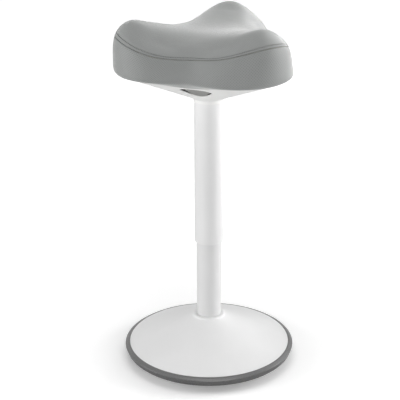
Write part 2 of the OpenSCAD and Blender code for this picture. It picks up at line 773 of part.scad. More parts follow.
module side_band() {
    color(CLOTH_SIDE) ring_solid(concat([for (t = SIDE_STEPS) seat_ring(t, 0)],
        [tuck_ring(0), tuck_ring(cloth_t)],
        [for (t = back(SIDE_STEPS)) seat_ring(t, cloth_t)]), closed = true,
        inner = len(SIDE_STEPS) + 1);
}

module seam_welt() {
    top = seam_row_n - welt_half;
    low = seam_row_n + welt_half;
    color(CLOTH_SEAM) ring_solid([seat_ring(top, fit_gap - cloth_t / 2),
        seat_ring(low, fit_gap - cloth_t / 2), seat_ring(low, cloth_t), seat_ring(top, cloth_t)],
        closed = true, inner = 2);
}

module cover_staples() {
    color(STEEL) for (i = [0 : staple_n - 1]) {
        a = (i + 0.5) * 360 / staple_n;
        rotate(-a) translate([0, edge(a)[0] - tuck_w + staple_in, board_z - cloth_t - staple_t]) {
            translate([-staple_w / 2, 0, -body_gap]) cube([staple_w, staple_d, staple_t]);
            for (x = [-staple_w / 2, staple_w / 2 - staple_t]) translate([x, 0, -body_gap])
                cube([staple_t, staple_d, staple_leg + cloth_t + staple_t]);
        }
    }
}

// Rim of the under pan at angle a, just below the cushion's edge
function pan_rim(a) = [edge(a)[0], edge(a)[1] - body_gap];
function pan_point(a, u, depth) = let (rim = pan_rim(a), d = rim - [cone_r, cone_z],
    n = [-d[1], d[0]] / norm(d))
    lerp([cone_r, cone_z], rim, u) + depth * n;
// Width of the pan's rim, where its slanting wall is cut level
function rim_land(a) = let (d = pan_rim(a) - [cone_r, cone_z]) pan_t * norm(d) / d[1];
PAN_SHARES = [1, 0.8, 0.6, 0.4, 0.2, 0.06];
pan_outer = concat([for (u = PAN_SHARES) [for (a = angles()) turned(pan_point(a, u, 0), a)]],
    [for (s = back(FLARE_SHARES)) [for (a = angles())
        turned([lerp(pan_neck_r, cone_r, s[0]), lerp(neck_z + pan_neck_h / 2, cone_z, s[1])], a)]],
    [[for (a = angles()) turned([pan_neck_r, neck_z], a)]]);

module under_pan() {
    inner = concat([[for (a = angles()) turned([pan_bore_r, neck_z], a)],
        [for (a = angles()) turned([pan_bore_r, cone_z + pan_t], a)]],
        [for (u = back(PAN_SHARES)) if (u < 1) [for (a = angles()) turned(pan_point(a, u, pan_t), a)]],
        [[for (a = angles()) turned(pan_rim(a) - [rim_land(a), 0], a)]]);
    color(WHITE) difference() {
        union() {
            ring_solid(concat(pan_outer, inner), closed = true);
            intersection() {
                ring_solid(concat([[for (a = angles()) turned([seat_r, board_z], a)]], pan_outer));
                for (a = [0, 120, 240]) rotate(-a) translate([0, pan_boss_at, neck_z])
                    cylinder(r = pan_boss_r, h = board_z - neck_z);
            }
        }
        translate([0, 0, neck_z]) linear_extrude(board_z - neck_z) hull() {
            for (s = [-1, 1]) translate([s * (hole_w / 2 - hole_side_r), -hole_out + hole_side_r])
                circle(r = hole_side_r, $fn = 48);
            translate([0, -hole_in - hole_tip_r]) circle(r = hole_tip_r, $fn = 48);
        }
    }
}

// Release

module along_x(x, y, z) {
    translate([x, y, z]) rotate([0, 90, 0]) children();
}

module lever_pin() {
    half = channel_x + pin_end;
    color(STEEL) difference() {
        along_x(-half, -pivot_y, pivot_z) cylinder(r = pin_r, h = 2 * half);
        for (x = [-channel_x - pin_groove_at - pin_groove_w, channel_x + pin_groove_at])
            along_x(x, -pivot_y, pivot_z) ring_part(pin_r + over, pin_r - groove_d, pin_groove_w);
    }
}

module pin_clips() {
    color(DARK_STEEL)
        for (x = [-channel_x - pin_groove_at - pin_groove_w, channel_x + pin_groove_at])
            along_x(x + run_gap, -pivot_y, pivot_z) difference() {
                ring_part(pin_r + pin_clip_w, pin_r - groove_d + run_gap, pin_groove_w - 2 * run_gap);
                translate([0, -pin_r / 2, -over])
                    cube([pin_r + pin_clip_w + over, pin_r, pin_groove_w + 2 * over]);
            }
}

module at_rivets() {
    for (s = [-1, 1])
        translate([s * (block_w / 2 - paddle_head_r - paddle_rivet_in), -(block_in + block_out) / 2, 0])
            children();
}

module release_lever() {
    arm_z = pivot_z - lever_t / 2;
    color(DARK_STEEL) difference() {
        union() {
            along_x(-hub_half, -pivot_y, pivot_z) cylinder(r = pin_r + hub_wall, h = 2 * hub_half);
            translate([-lever_w / 2, -lever_out, arm_z]) cube([lever_w, lever_out + lever_tail, lever_t]);
        }
        along_x(-channel_x, -pivot_y, pivot_z) cylinder(r = pin_r + run_gap, h = 2 * channel_x);
        at_rivets() translate([0, 0, arm_z - over])
            cylinder(r = paddle_rivet_r + fit_gap, h = lever_t + 2 * over);
    }
}

// Space above a plane that runs parallel to the under pan's front
module above_pan(height) {
    translate([0, -cone_r, cone_z + paddle_off]) rotate([-atan(front_slope), 0, 0])
        translate([-hole_w, -front_rim[0], 0]) cube([2 * hole_w, front_rim[0], height]);
}

module lever_paddle() {
    block_top_z = pivot_z - lever_t / 2;
    color(PADDLE_GREY) difference() {
        union() {
            intersection() {
                above_pan(paddle_t);
                translate([0, 0, neck_z]) linear_extrude(board_z - neck_z) hull() {
                    for (s = [-1, 1])
                        translate([s * (hole_w / 2 - hole_side_r), -hole_out + paddle_short + paddle_side_r])
                            circle(r = paddle_side_r, $fn = 48);
                    translate([0, -hole_in - hole_tip_r + paddle_past]) circle(r = hole_tip_r, $fn = 48);
                }
            }
            intersection() {
                above_pan(board_z - neck_z);
                translate([-block_w / 2, -block_out, neck_z])
                    cube([block_w, block_out - block_in, block_top_z - neck_z]);
            }
        }
        at_rivets() translate([0, 0, block_top_z - paddle_rivet_len])
            cylinder(r = paddle_rivet_r + fit_gap, h = paddle_rivet_len + over);
    }
}

module paddle_rivets() {
    top_z = pivot_z + lever_t / 2;
    color(STEEL) at_rivets() {
        translate([0, 0, top_z]) cylinder(r = paddle_head_r, h = paddle_head_h);
        translate([0, 0, top_z - lever_t - paddle_rivet_len + body_gap])
            cylinder(r = paddle_rivet_r, h = lever_t + paddle_rivet_len - body_gap);
    }
}

base_cover();
rim_ring();
base_dish();
rubber_sole();
ballast_disc();
column_flange();
flange_bolts();
flange_washers();
cover_screws();
lower_tube();
tube_end_disc();
lower_race();
ball_cage();
bearing_balls();
guide_bush();
upper_race();
bump_buffer();
piston_rod();
rod_clip();
piston();
piston_ring();
gas_cylinder();
rod_guide();
rod_seal();
valve_body();
valve_pin();
upper_sleeve();
sleeve_glide();
sleeve_collar();
seat_bracket();
bracket_bolts();
bracket_washers();
tee_nuts();
seat_board();
seat_foam();
top_panel();
side_band();
seam_welt();
cover_staples();
under_pan();
lever_pin();
pin_clips();
release_lever();
lever_paddle();
paddle_rivets();
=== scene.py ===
# %% [markdown]
# # A saddle stool in the studio
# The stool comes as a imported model: 45 named pieces in metres, already in their places. This lesson
# keeps the hidden ones as they are and only gives them a finish. The pieces that a visitor sees are
# built again as fine surfaces: the white base with its rubber rim, the two tubes, the three-lobed
# cushion with its stitched seam, the pan under it and the grey paddle inside the pan's opening.

import json
import math

import bmesh
import bpy
import numpy as np
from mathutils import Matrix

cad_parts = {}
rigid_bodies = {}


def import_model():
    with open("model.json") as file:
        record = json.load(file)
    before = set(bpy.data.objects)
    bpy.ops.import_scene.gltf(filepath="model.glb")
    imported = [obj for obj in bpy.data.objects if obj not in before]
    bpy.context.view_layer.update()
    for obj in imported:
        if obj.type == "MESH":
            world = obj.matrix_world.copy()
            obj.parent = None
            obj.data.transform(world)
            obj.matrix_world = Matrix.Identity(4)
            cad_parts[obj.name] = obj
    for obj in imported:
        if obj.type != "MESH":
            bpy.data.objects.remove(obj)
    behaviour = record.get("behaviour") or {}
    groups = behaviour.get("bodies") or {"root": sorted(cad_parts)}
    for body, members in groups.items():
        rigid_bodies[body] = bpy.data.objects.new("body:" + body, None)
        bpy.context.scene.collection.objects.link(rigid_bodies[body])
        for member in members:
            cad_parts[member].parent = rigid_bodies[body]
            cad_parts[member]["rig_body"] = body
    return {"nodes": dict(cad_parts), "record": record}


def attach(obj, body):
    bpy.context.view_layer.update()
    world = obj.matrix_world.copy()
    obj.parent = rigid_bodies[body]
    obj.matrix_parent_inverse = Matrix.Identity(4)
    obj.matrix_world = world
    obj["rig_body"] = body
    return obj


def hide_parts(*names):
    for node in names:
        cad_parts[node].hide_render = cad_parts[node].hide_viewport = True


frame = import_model()
scene = bpy.context.scene
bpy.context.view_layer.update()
MM = 0.001

# %% [markdown]
# ## Camera
# The photograph was taken through a long lens from above the seat, turned 18 degrees to the right of
# the paddle. The lens was found as a focal length in photo pixels, and is changed to millimetres on
# a 36 mm sensor. The column stands a little right of the picture's middle, so the lens is shifted by
# that share of the picture's width, and the camera is rolled by a tenth of a degree.

# %% Camera
PHOTO_SIDE, LENS_PIXELS, COLUMN_AT, SENSOR = 400, 1232, 208.0, 36.0
CAMERA_AWAY, CAMERA_UP = 2.313, 1.2466
CAMERA_TURN, CAMERA_DIP, CAMERA_ROLL = (math.radians(v) for v in (17.85, 21.29, 0.1))


def add_object(name, data):
    """A new object in the scene."""
    made = bpy.data.objects.new(name, data)
    scene.collection.objects.link(made)
    return made


camera_data = bpy.data.cameras.new("photo_camera")
camera_data.sensor_width = SENSOR
camera_data.lens = SENSOR * LENS_PIXELS / PHOTO_SIDE
camera_data.shift_x = -(COLUMN_AT / PHOTO_SIDE - 0.5)
camera_data.clip_end = 100
camera = add_object("photo_camera", camera_data)
camera.location.xy = CAMERA_AWAY * math.sin(CAMERA_TURN), -CAMERA_AWAY * math.cos(CAMERA_TURN)
camera.location.z = CAMERA_UP
camera.rotation_euler = (math.pi / 2 - CAMERA_DIP, CAMERA_ROLL, CAMERA_TURN)
scene.camera = camera
print(f"lens {camera_data.lens:.1f} mm, shifted {camera_data.shift_x:+.3f}")

# %% [markdown]
# ## Nodes made short
# A material is a small graph. Written out one call at a time it hides what it does, so one helper
# makes a node, sets its properties and fills its inputs: a socket is linked, and anything else is
# set as a plain value. Two more start and end every solid finish.


# %% Node helper
def node(tree, kind, *first, settings=None, **named):
    """A new node. Its first inputs come in order, the others by name, with _ for a space."""
    made = tree.nodes.new(kind)
    for key, value in (settings or {}).items():
        setattr(made, key, value)
    others = [(made.inputs[key.replace("_", " ")], value) for key, value in named.items()]
    for socket, value in [*zip(made.inputs, first), *others]:
        if isinstance(value, bpy.types.NodeSocket):
            tree.links.new(value, socket)
        else:
            socket.default_value = value
    return made


def combine(tree, operation, a, b=0.0):
    """The result of one sum on two numbers, each a socket or a plain value."""
    return node(tree, "ShaderNodeMath", a, b, settings={"operation": operation}).outputs[0]


def ramp(tree, value, low, high, out_low=0.0, out_high=1.0):
    """value moved from the span low..high to the span out_low..out_high, and kept inside it."""
    return node(tree, "ShaderNodeMapRange", value, low, high, out_low, out_high).outputs[0]


def blend_colours(tree, share, first, second):
    """first where share is 0, second where it is 1."""
    mixer = node(tree, "ShaderNodeMix", settings={"data_type": "RGBA"}, Factor=share)
    mixer.inputs[6].default_value = (*first, 1)
    mixer.inputs[7].default_value = (*second, 1)
    return mixer.outputs[2]


def new_material(name):
    """A material with an empty graph, that graph, and the socket of the object's coordinates."""
    made = bpy.data.materials.new(name)
    made.use_nodes = True
    tree = made.node_tree
    tree.nodes.clear()
    return made, tree, node(tree, "ShaderNodeTexCoord").outputs["Object"]


def solid_shader(tree, colour, roughness, height, strength, depth, **more):
    """The end of a finish: a plain shader with a bump of `depth` where height is 1."""
    bump = node(tree, "ShaderNodeBump", Strength=strength, Distance=depth, Height=height).outputs[0]
    plain = {"Base_Color": colour, "Roughness": roughness, "Normal": bump, **more}
    shader = node(tree, "ShaderNodeBsdfPrincipled", **plain)
    node(tree, "ShaderNodeOutputMaterial", Surface=shader.outputs[0])


# %% [markdown]
# ## Floor and white room
# The photograph has a pure white ground with one soft shadow. The world is white where the camera,
# a reflection or glass looks at it, and dimmer where it lights the stool. The floor is pale and
# matt. For the camera alone it gets the little extra that makes its lit part white, so only the
# shadow is left. The extra is smallest right under the rim, which deepens the real shadow there and
# paints shade in a ring round the whole base, and grows from 0.35 m outwards, where the lamps fall off.

# %% World and floor
ROOM_LIGHT = 0.20
WHITE, FLOOR_WHITE = (1, 1, 1, 1), (0.9, 0.9, 0.9, 1)
FLOOR_EXTRA_IN_PAINTED_SHADE, FLOOR_EXTRA, FLOOR_MORE = 0.20, 0.33, 0.47
PAINTED_SHADE_SPAN, LAMPS_FALL_OFF = (0.172, 0.19), (0.35, 1.2)
FLOOR_SIDE = 12.0

world = bpy.data.worlds.new("white_room")
scene.world = world
world.use_nodes = True
tree = world.node_tree
tree.nodes.clear()
path = node(tree, "ShaderNodeLightPath")
seen = combine(tree, "MAXIMUM", path.outputs["Is Camera Ray"], path.outputs["Is Glossy Ray"])
seen = combine(tree, "MAXIMUM", seen, path.outputs["Is Transmission Ray"])
strength = ramp(tree, seen, 0, 1, ROOM_LIGHT, 1.0)
background = node(tree, "ShaderNodeBackground", Color=WHITE, Strength=strength)
node(tree, "ShaderNodeOutputWorld", Surface=background.outputs[0])
scene.view_settings.view_transform = "Standard"

floor_mesh = bpy.data.meshes.new("floor")
corner = FLOOR_SIDE / 2
square = [(-corner, -corner, 0), (corner, -corner, 0), (corner, corner, 0), (-corner, corner, 0)]
floor_mesh.from_pydata(square, [], [(0, 1, 2, 3)])
floor = add_object("floor", floor_mesh)

floor_finish, tree, place = new_material("studio_floor")
seen = node(tree, "ShaderNodeLightPath").outputs["Is Camera Ray"]
matt = node(tree, "ShaderNodeBsdfDiffuse", Color=FLOOR_WHITE)
away = node(tree, "ShaderNodeVectorMath", place, settings={"operation": "LENGTH"}).outputs["Value"]
# painted shade: less of the camera-only extra right under the rim darkens a ring of floor round the whole
# base
near = ramp(tree, away, *PAINTED_SHADE_SPAN, FLOOR_EXTRA_IN_PAINTED_SHADE, FLOOR_EXTRA)
far = ramp(tree, away, *LAMPS_FALL_OFF, 0, FLOOR_MORE)
strength = combine(tree, "MULTIPLY", seen, combine(tree, "ADD", near, far))
extra = node(tree, "ShaderNodeEmission", Color=WHITE, Strength=strength)
both = node(tree, "ShaderNodeAddShader", matt.outputs[0], extra.outputs[0])
node(tree, "ShaderNodeOutputMaterial", Surface=both.outputs[0])
floor_mesh.materials.append(floor_finish)
print("floor", floor.dimensions[:])

# %% [markdown]
# ## Lamps
# The tubes in the photograph are brightest along both edges and dimmest in the middle, and the
# cushion's right side is far lighter than its front. So two large soft boxes stand at the sides, the
# right one stronger and a little behind the stool, and a weaker one near the camera. Two more hang
# above: one over the stool for the cover's slope, a weak one high behind. Three small lights with a
# narrow beam graze the seat from behind and give the bright saddle between the lobes. Their powers
# come from renders with one lamp at a time, and the sum of them that is nearest to the photo.


# %% Soft boxes
BIG = {"away": 2.4, "width": 1.4, "height": 1.3}
OVERHEAD = {"away": 2.4, "width": 1.8, "height": 1.8}
NARROW = {"away": 1.6, "width": 0.5, "height": 0.35, "aim": 0.67, "spread": 30}


def soft_box(name, turn, up, watts, away, width, height, aim=0.45, spread=180):
    """A rectangular lamp that looks at the column at the height `aim`, from `turn` degrees round it
    from the front (positive to the right), `up` degrees above level and `away` metres off."""
    lamp = bpy.data.lights.new(name, "AREA")
    lamp.shape = "RECTANGLE"
    lamp.size, lamp.size_y = width, height
    lamp.energy = watts
    lamp.spread = math.radians(spread)
    stand = add_object(name, lamp)
    a, e = math.radians(turn), math.radians(up)
    flat = away * math.cos(e)
    stand.location = (flat * math.sin(a), -flat * math.cos(a), aim + away * math.sin(e))
    stand.rotation_euler = (math.pi / 2 - e, 0, a)


soft_box("left_box", -64, 8, 30, **BIG)
soft_box("front_box", 27, 8, 20, **BIG)
soft_box("right_box", 119, 8, 41, **BIG)
soft_box("upper_box", 150, 35, 4, **BIG)
soft_box("top_box", 20, 86, 17, **OVERHEAD)
soft_box("edge_light", 165, 5, 0.24, **NARROW)
soft_box("back_edge_light", 165, 30, 0.27, **NARROW)
soft_box("right_edge_light", 140, 30, 0.40, **NARROW)
print(len(bpy.data.lights), "soft boxes")

# %% [markdown]
# ## From numbers to a mesh
# Every new surface here is a grid: a sheet of points in rows and columns. The shape is worked out
# for the whole grid at once with numpy. One helper then joins neighbours by four-sided faces, wraps
# the grid round where it closes, merges the points that meet at a pole and turns the faces outwards.


# %% Grid helper
SHARP = math.radians(40)


def grid_faces(rows, columns, around, loop):
    """Corner numbers of the faces between neighbouring rows and columns."""
    i = np.arange(rows if loop else rows - 1)[:, None]
    j = np.arange(columns if around else columns - 1)[None, :]
    i2, j2 = (i + 1) % rows, (j + 1) % columns
    corners = (i * columns + j, i * columns + j2, i2 * columns + j2, i2 * columns + j)
    return np.stack(np.broadcast_arrays(*corners), -1).reshape(-1, 4)


def grid_uv(uv):
    """The map's places at each face's four corners. uv has one column (row) more than the points
    where the grid wraps, so that the last face doesn't run back to zero."""
    return np.stack([uv[:-1, :-1], uv[:-1, 1:], uv[1:, 1:], uv[1:, :-1]], 2).reshape(-1, 2)


def piece(name, grids, finish):
    """One object from several grids in metres. Each is (points, around, loop, uv or None): whether
    it closes over its columns and over its rows. Points alone close over the columns only."""
    points, faces, maps, count = [], [], [], 0
    for entry in grids:
        grid, around, loop, uv = entry if isinstance(entry, tuple) else (entry, True, False, None)
        found = grid_faces(*grid.shape[:2], around, loop)
        points.append(grid.reshape(-1, 3))
        faces.append(found + count)
        maps.append(np.zeros((len(found) * 4, 2)) if uv is None else grid_uv(uv))
        count += grid.shape[0] * grid.shape[1]
    mesh = bpy.data.meshes.new(name)
    mesh.from_pydata(np.concatenate(points).tolist(), [], np.concatenate(faces).tolist())
    mesh.uv_layers.new(name="cloth_map").data.foreach_set("uv", np.concatenate(maps).ravel())
    work = bmesh.new()
    work.from_mesh(mesh)
    bmesh.ops.remove_doubles(work, verts=work.verts, dist=1e-6)
    bmesh.ops.recalc_face_normals(work, faces=work.faces)
    work.to_mesh(mesh)
    work.free()
    mesh.shade_smooth()
    mesh.set_sharp_from_angle(angle=SHARP)
    mesh.materials.append(finish)
    print(f"{name}: {len(mesh.polygons)} faces")
    return add_object(name, mesh)


def once_round(count):
    """Angles of even steps once round, in radians."""
    return np.linspace(0, 2 * math.pi, count, endpoint=False)


def revolved(outline, segments):
    """A closed outline of (radius, height) turned once round the column: each point of it becomes
    a row whose columns are (r sin a, r cos a, z)."""
    a = once_round(segments)
    r, z = outline[:, 0, None], outline[:, 1, None]
    return np.stack([r * np.sin(a), r * np.cos(a), z + 0 * a], -1), True, True, None


def rounded(corners, cut, steps=5):
    """Each corner of a closed outline gives way to a small curve that starts `cut` before it and
    ends `cut` after it, (1-t)^2 A + 2t(1-t) P + t^2 B. One more point on each side, half a cut
    further out, keeps the straight parts flat when they are shaded smoothly."""
    p = np.asarray(corners, float)
    cut = np.broadcast_to(np.asarray(cut, float), len(p))[:, None]
    before, after = np.roll(p, 1, 0) - p, np.roll(p, -1, 0) - p
    long_a, long_b = (np.linalg.norm(side, axis=1)[:, None] for side in (before, after))
    a = p + before / long_a * np.minimum(cut, long_a * 0.3)
    b = p + after / long_b * np.minimum(cut, long_b * 0.3)
    t = np.linspace(0, 1, steps)[None, :, None]
    curve = (1 - t) ** 2 * a[:, None] + 2 * t * (1 - t) * p[:, None] + t**2 * b[:, None]
    first, last = (a + (a - p) * 0.5)[:, None], (b + (b - p) * 0.5)[:, None]
    return np.concatenate([first, curve, last], 1).reshape(-1, 2)


# %% [markdown]
# ## Hard finishes
# Powder coat, moulded plastic, rubber, nylon and the metals share one recipe: a plain
# shader, a colour that drifts a little from place to place, a roughness that drifts with it, and a
# bump of the grain that the real surface has. Only the numbers differ. Object coordinates are in
# metres here, so a scale of 1000 is a grain of about a millimetre.


# %% Hard finishes
DRIFT_SCALE = 14.0


def hard_finish(name, colour, drift, roughness, grain, height, metal=0.0, stretch=(1, 1, 1), **more):
    """drift is the second colour of the slow change; grain is the bump's scale per metre and
    height its strength; more sets further sockets of the shader as plain values."""
    made, tree, place = new_material(name)
    place = node(tree, "ShaderNodeMapping", place, Scale=stretch).outputs[0]
    slow = node(tree, "ShaderNodeTexNoise", Vector=place, Scale=DRIFT_SCALE, Detail=4.0).outputs[0]
    fine = node(tree, "ShaderNodeTexNoise", Vector=place, Scale=grain, Detail=3.0).outputs[0]
    mixed = blend_colours(tree, ramp(tree, slow, 0.35, 0.65), colour, drift)
    rough = ramp(tree, fine, 0.3, 0.7, roughness - 0.04, roughness + 0.05)
    solid_shader(tree, mixed, rough, fine, height, MM * 0.5, Metallic=metal, **more)
    return made


POWDER_COAT = hard_finish("powder_coat", (0.71,) * 3, (0.69,) * 3, 0.50, 1500, 0.10)
SLEEVE_COAT = hard_finish(
    "sleeve_coat", (0.765,) * 3, (0.745,) * 3, 0.50, 1500, 0.10, Specular_IOR_Level=0.15
)
COVER_PLASTIC = hard_finish("cover_plastic", (0.88,) * 3, (0.86,) * 3, 0.42, 2200, 0.08)
PAN_PLASTIC = hard_finish("pan_plastic", (0.80, 0.80, 0.79), (0.77, 0.77, 0.76), 0.50, 1800, 0.15)
RIM_RUBBER = hard_finish(
    "rim_rubber", (0.078,) * 3, (0.068,) * 3, 0.30, 1300, 0.3, Specular_IOR_Level=1.0
)
NYLON = hard_finish("black_nylon", (0.028, 0.028, 0.03), (0.02, 0.02, 0.022), 0.55, 1400, 0.25)
CAST_IRON = hard_finish("cast_iron", (0.05, 0.05, 0.052), (0.035, 0.035, 0.037), 0.75, 420, 0.9, 0.3)
ZINC = hard_finish("zinc_plate", (0.56, 0.57, 0.58), (0.47, 0.47, 0.49), 0.34, 900, 0.12, 1.0)
GROUND_STEEL = hard_finish(
    "ground_steel", (0.60, 0.60, 0.61), (0.55, 0.55, 0.57), 0.18, 600, 0.10, 1.0, (1, 1, 9)
)
BLACK_COAT = hard_finish("black_coat", (0.022, 0.022, 0.024), (0.03, 0.03, 0.032), 0.45, 1500, 0.2)
BRASS = hard_finish(
    "turned_brass", (0.60, 0.43, 0.16), (0.52, 0.36, 0.13), 0.30, 500, 0.12, 1.0, (1, 1, 12)
)
PADDLE_PLASTIC = hard_finish("paddle_plastic", (0.25, 0.25, 0.24), (0.22, 0.22, 0.21), 0.5, 1700, 0.3)
print("materials so far:", len(bpy.data.materials))

# %% [markdown]
# ## Plywood and foam
# The seat board and the foam pad are inside, and seen only when the stool is taken apart. Plywood
# shows thin layers of turned grain on its edge and long wavy grain on its faces. Moulded foam has a
# skin of small open cells.


# %% Plywood and foam
def plywood_finish(ply=1.5 * MM):
    """Layers by height: the sine of z over two plies, sharpened, picks the lighter or darker ply."""
    made, tree, place = new_material("birch_plywood")
    height = node(tree, "ShaderNodeSeparateXYZ", place).outputs["Z"]
    layer = combine(tree, "SINE", combine(tree, "MULTIPLY", height, math.pi / ply))
    layer = ramp(tree, layer, -0.2, 0.2)
    long = node(tree, "ShaderNodeMapping", place, Scale=(6, 90, 6)).outputs[0]
    grain = node(tree, "ShaderNodeTexNoise", Vector=long, Scale=3.0, Detail=8.0).outputs[0]
    share = combine(tree, "MULTIPLY", layer, 0.45)
    share = combine(tree, "ADD", share, ramp(tree, grain, 0.35, 0.7, 0.0, 0.5))
    mixed = blend_colours(tree, share, (0.55, 0.38, 0.20), (0.33, 0.19, 0.08))
    solid_shader(tree, mixed, 0.6, grain, 0.2, MM * 0.3)
    return made


def foam_finish(cell=1.2 * MM):
    """Round cells from a Voronoi pattern, lower in their middles, with painted shade that darkens each
    middle.
    """
    made, tree, place = new_material("moulded_foam")
    cells = node(tree, "ShaderNodeTexVoronoi", Vector=place, Scale=1 / cell).outputs["Distance"]
    # painted shade: the colour is darker near each cell's middle, where the cell is lower
    share = ramp(tree, cells, 0.0, 0.5)
    mixed = blend_colours(tree, share, (0.50, 0.44, 0.26), (0.72, 0.66, 0.45))
    solid_shader(tree, mixed, 0.9, cells, 0.5, MM * 0.4)
    return made


PLYWOOD, FOAM = plywood_finish(), foam_finish()
print(PLYWOOD.name, FOAM.name)

# %% [markdown]
# ## Mesh cloth
# The cover is a knitted mesh: threads that cross on the slant, with a tiny hole in each cell. Two
# folded sine waves across each other give that net. Its colour darkens where the net is low, which
# paints shade into each hole. The map of the cloth is in metres along the surface, so the holes stay
# the same size on the crown and down the sides, and don't slide when the stool moves. A soft sheen
# stands for the fuzz of the yarn that catches light at the cushion's edge.


# %% Mesh cloth
FUZZ = {"Sheen_Weight": 0.8, "Sheen_Roughness": 0.3, "Specular_IOR_Level": 0.8, "Diffuse_Roughness": 1.0}


def mesh_cloth(name, pitch, thread, hole, depth):
    """Height is |sin(pi x)| + |sin(pi y)|, with x and y the slanted map places over the pitch:
    0 in the holes and up to 2 where the threads cross. The knit is real; the colour follows the
    height, so the darker holes are painted shade."""
    made, tree, place = new_material(name)
    spot = node(tree, "ShaderNodeUVMap", settings={"uv_map": "cloth_map"}).outputs[0]
    turned = node(tree, "ShaderNodeMapping", spot, Rotation=(0, 0, math.pi / 4)).outputs[0]
    parts = node(tree, "ShaderNodeSeparateXYZ", turned)
    waves = []
    for axis in ("X", "Y"):
        wave = combine(tree, "MULTIPLY", parts.outputs[axis], math.pi / pitch)
        waves.append(combine(tree, "ABSOLUTE", combine(tree, "SINE", wave)))
    net = combine(tree, "ADD", *waves)
    yarn = node(tree, "ShaderNodeTexNoise", Vector=place, Scale=2600.0, Detail=2.0).outputs[0]
    slow = node(tree, "ShaderNodeTexNoise", Vector=place, Scale=30.0, Detail=3.0).outputs[0]
    height = combine(tree, "ADD", net, combine(tree, "MULTIPLY", yarn, 0.25))
    # painted shade: the colour is darkest where the net is lowest, inside the holes
    share = ramp(tree, height, 0.25, 1.1)
    share = combine(tree, "MULTIPLY", share, ramp(tree, slow, 0.3, 0.7, 0.93, 1.0))
    mixed = blend_colours(tree, share, hole, thread)
    solid_shader(tree, mixed, 0.6, height, depth, MM * 0.35, **FUZZ)
    return made


TOP_CLOTH = mesh_cloth("top_mesh_cloth", 2.2 * MM, (0.33, 0.34, 0.335), (0.115, 0.12, 0.115), 0.35)
SIDE_CLOTH = mesh_cloth("side_mesh_cloth", 3.2 * MM, (0.285, 0.295, 0.29), (0.12, 0.125, 0.12), 0.15)
SEAM_CLOTH = mesh_cloth("seam_cloth", 1.6 * MM, (0.29, 0.30, 0.295), (0.16, 0.165, 0.16), 0.2)
# painted shade: the stitch thread is darker than the grey thread it stands for, so each stitch row also
# carries the shadow of the seam's groove
THREAD_WITH_GROOVE_SHADE = hard_finish("thread_with_painted_shade", (0.09, 0.095, 0.09), (0.08, 0.085, 0.08), 0.8, 3000, 0.4)
print(TOP_CLOTH.name, SIDE_CLOTH.name, SEAM_CLOTH.name)

# %% [markdown]
# ## Base cover
# The cover is one moulding: a shallow trumpet that climbs from the rim to a soft bead round the
# column. It could be sculpted, but its outline turned round the column is exact. The trumpet is a
# power curve. A small skirt that dies away outwards blends it into the bead, and the bead itself is
# a quarter of a squared-off ellipse. The underside follows 2.2 mm below.

# %% Base cover
EDGE_R, EDGE_Z, RIM_TOP_Z = 165.8 * MM, 30.0 * MM, 33.5 * MM
BORE_R, COLLAR_W, COLLAR_Z, BEAD_H = 25.15 * MM, 7.6 * MM, 94.5 * MM, 5.0 * MM
COVER_CURVE, COVER_WALL = 1.25, 2.2 * MM
SKIRT_H, SKIRT_FALL = 1.6 * MM, 4 * MM
BEAD_INSET, BEAD_POWER = 0.6 * MM, 0.8
COLLAR_R = BORE_R + COLLAR_W


def cover_height(r):
    """Height of the cover's outer face at radius r: a power curve from the rim up to the bead,
    plus the skirt, which is highest at the bead and falls off outwards."""
    share = (EDGE_R - r) / (EDGE_R - COLLAR_R)
    climb = (COLLAR_Z - BEAD_H - RIM_TOP_Z) * np.clip(share, 0, 1) ** COVER_CURVE
    return RIM_TOP_Z + climb + SKIRT_H * np.exp(-(r - COLLAR_R) / SKIRT_FALL)


far_out = np.linspace(EDGE_R - 1.2 * MM, COLLAR_R + 9 * MM, 40)
near_bead = np.linspace(COLLAR_R + 8 * MM, COLLAR_R, 14)
r = np.concatenate([far_out, near_bead])
skin = np.stack([r, cover_height(r)], 1)
t = np.linspace(0, math.pi / 2, 14)
bead_r = BORE_R + BEAD_INSET + (COLLAR_W - BEAD_INSET) * np.cos(t) ** BEAD_POWER
bead_z = COLLAR_Z - (BEAD_H - SKIRT_H) * (1 - np.sin(t) ** BEAD_POWER)
bead = np.stack([bead_r, bead_z], 1)
edge = np.array([[0, EDGE_Z - RIM_TOP_Z], [0, -0.9 * MM], [-0.3 * MM, -0.1 * MM]]) + [EDGE_R, RIM_TOP_Z]
bore = np.array([[BORE_R, COLLAR_Z - 0.7 * MM], [BORE_R, COLLAR_Z - BEAD_H - 2 * COVER_WALL]])
back = skin[::-1] - [0, COVER_WALL]
back = back[(back[:, 0] > COLLAR_R + 1 * MM) & (back[:, 0] < EDGE_R - 2 * COVER_WALL)]
inner_edge = np.array([[EDGE_R - 2 * COVER_WALL, EDGE_Z]])
cover_outline = np.concatenate([edge, skin, bead[1:], bore, back, inner_edge])

BOSS_AT, BOSS_R, BOSS_Z = 151.8 * MM, 5.5 * MM, 22.0 * MM


def post(x, y, z_low, z_high, radius, segments=24):
    """A plain closed round post, for the bosses that sit out of sight under a moulding."""
    a = once_round(segments)
    r = np.array([0, 1, 1, 1, 1, 0])[:, None] * radius
    z = np.array([z_low, z_low, z_low + MM / 2, z_high - MM / 2, z_high, z_high])[:, None]
    return np.stack([x + r * np.cos(a), y + r * np.sin(a), z + 0 * a], -1)


boss_top = cover_height(BOSS_AT) - COVER_WALL / 2
bosses = [
    post(BOSS_AT * math.cos(a), BOSS_AT * math.sin(a), BOSS_Z, boss_top, BOSS_R)
    for a in np.arange(6) * math.pi / 3
]
base_cover = piece("white_cover", [revolved(cover_outline, 300), *bosses], COVER_PLASTIC)
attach(base_cover, "base")
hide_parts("base_cover")

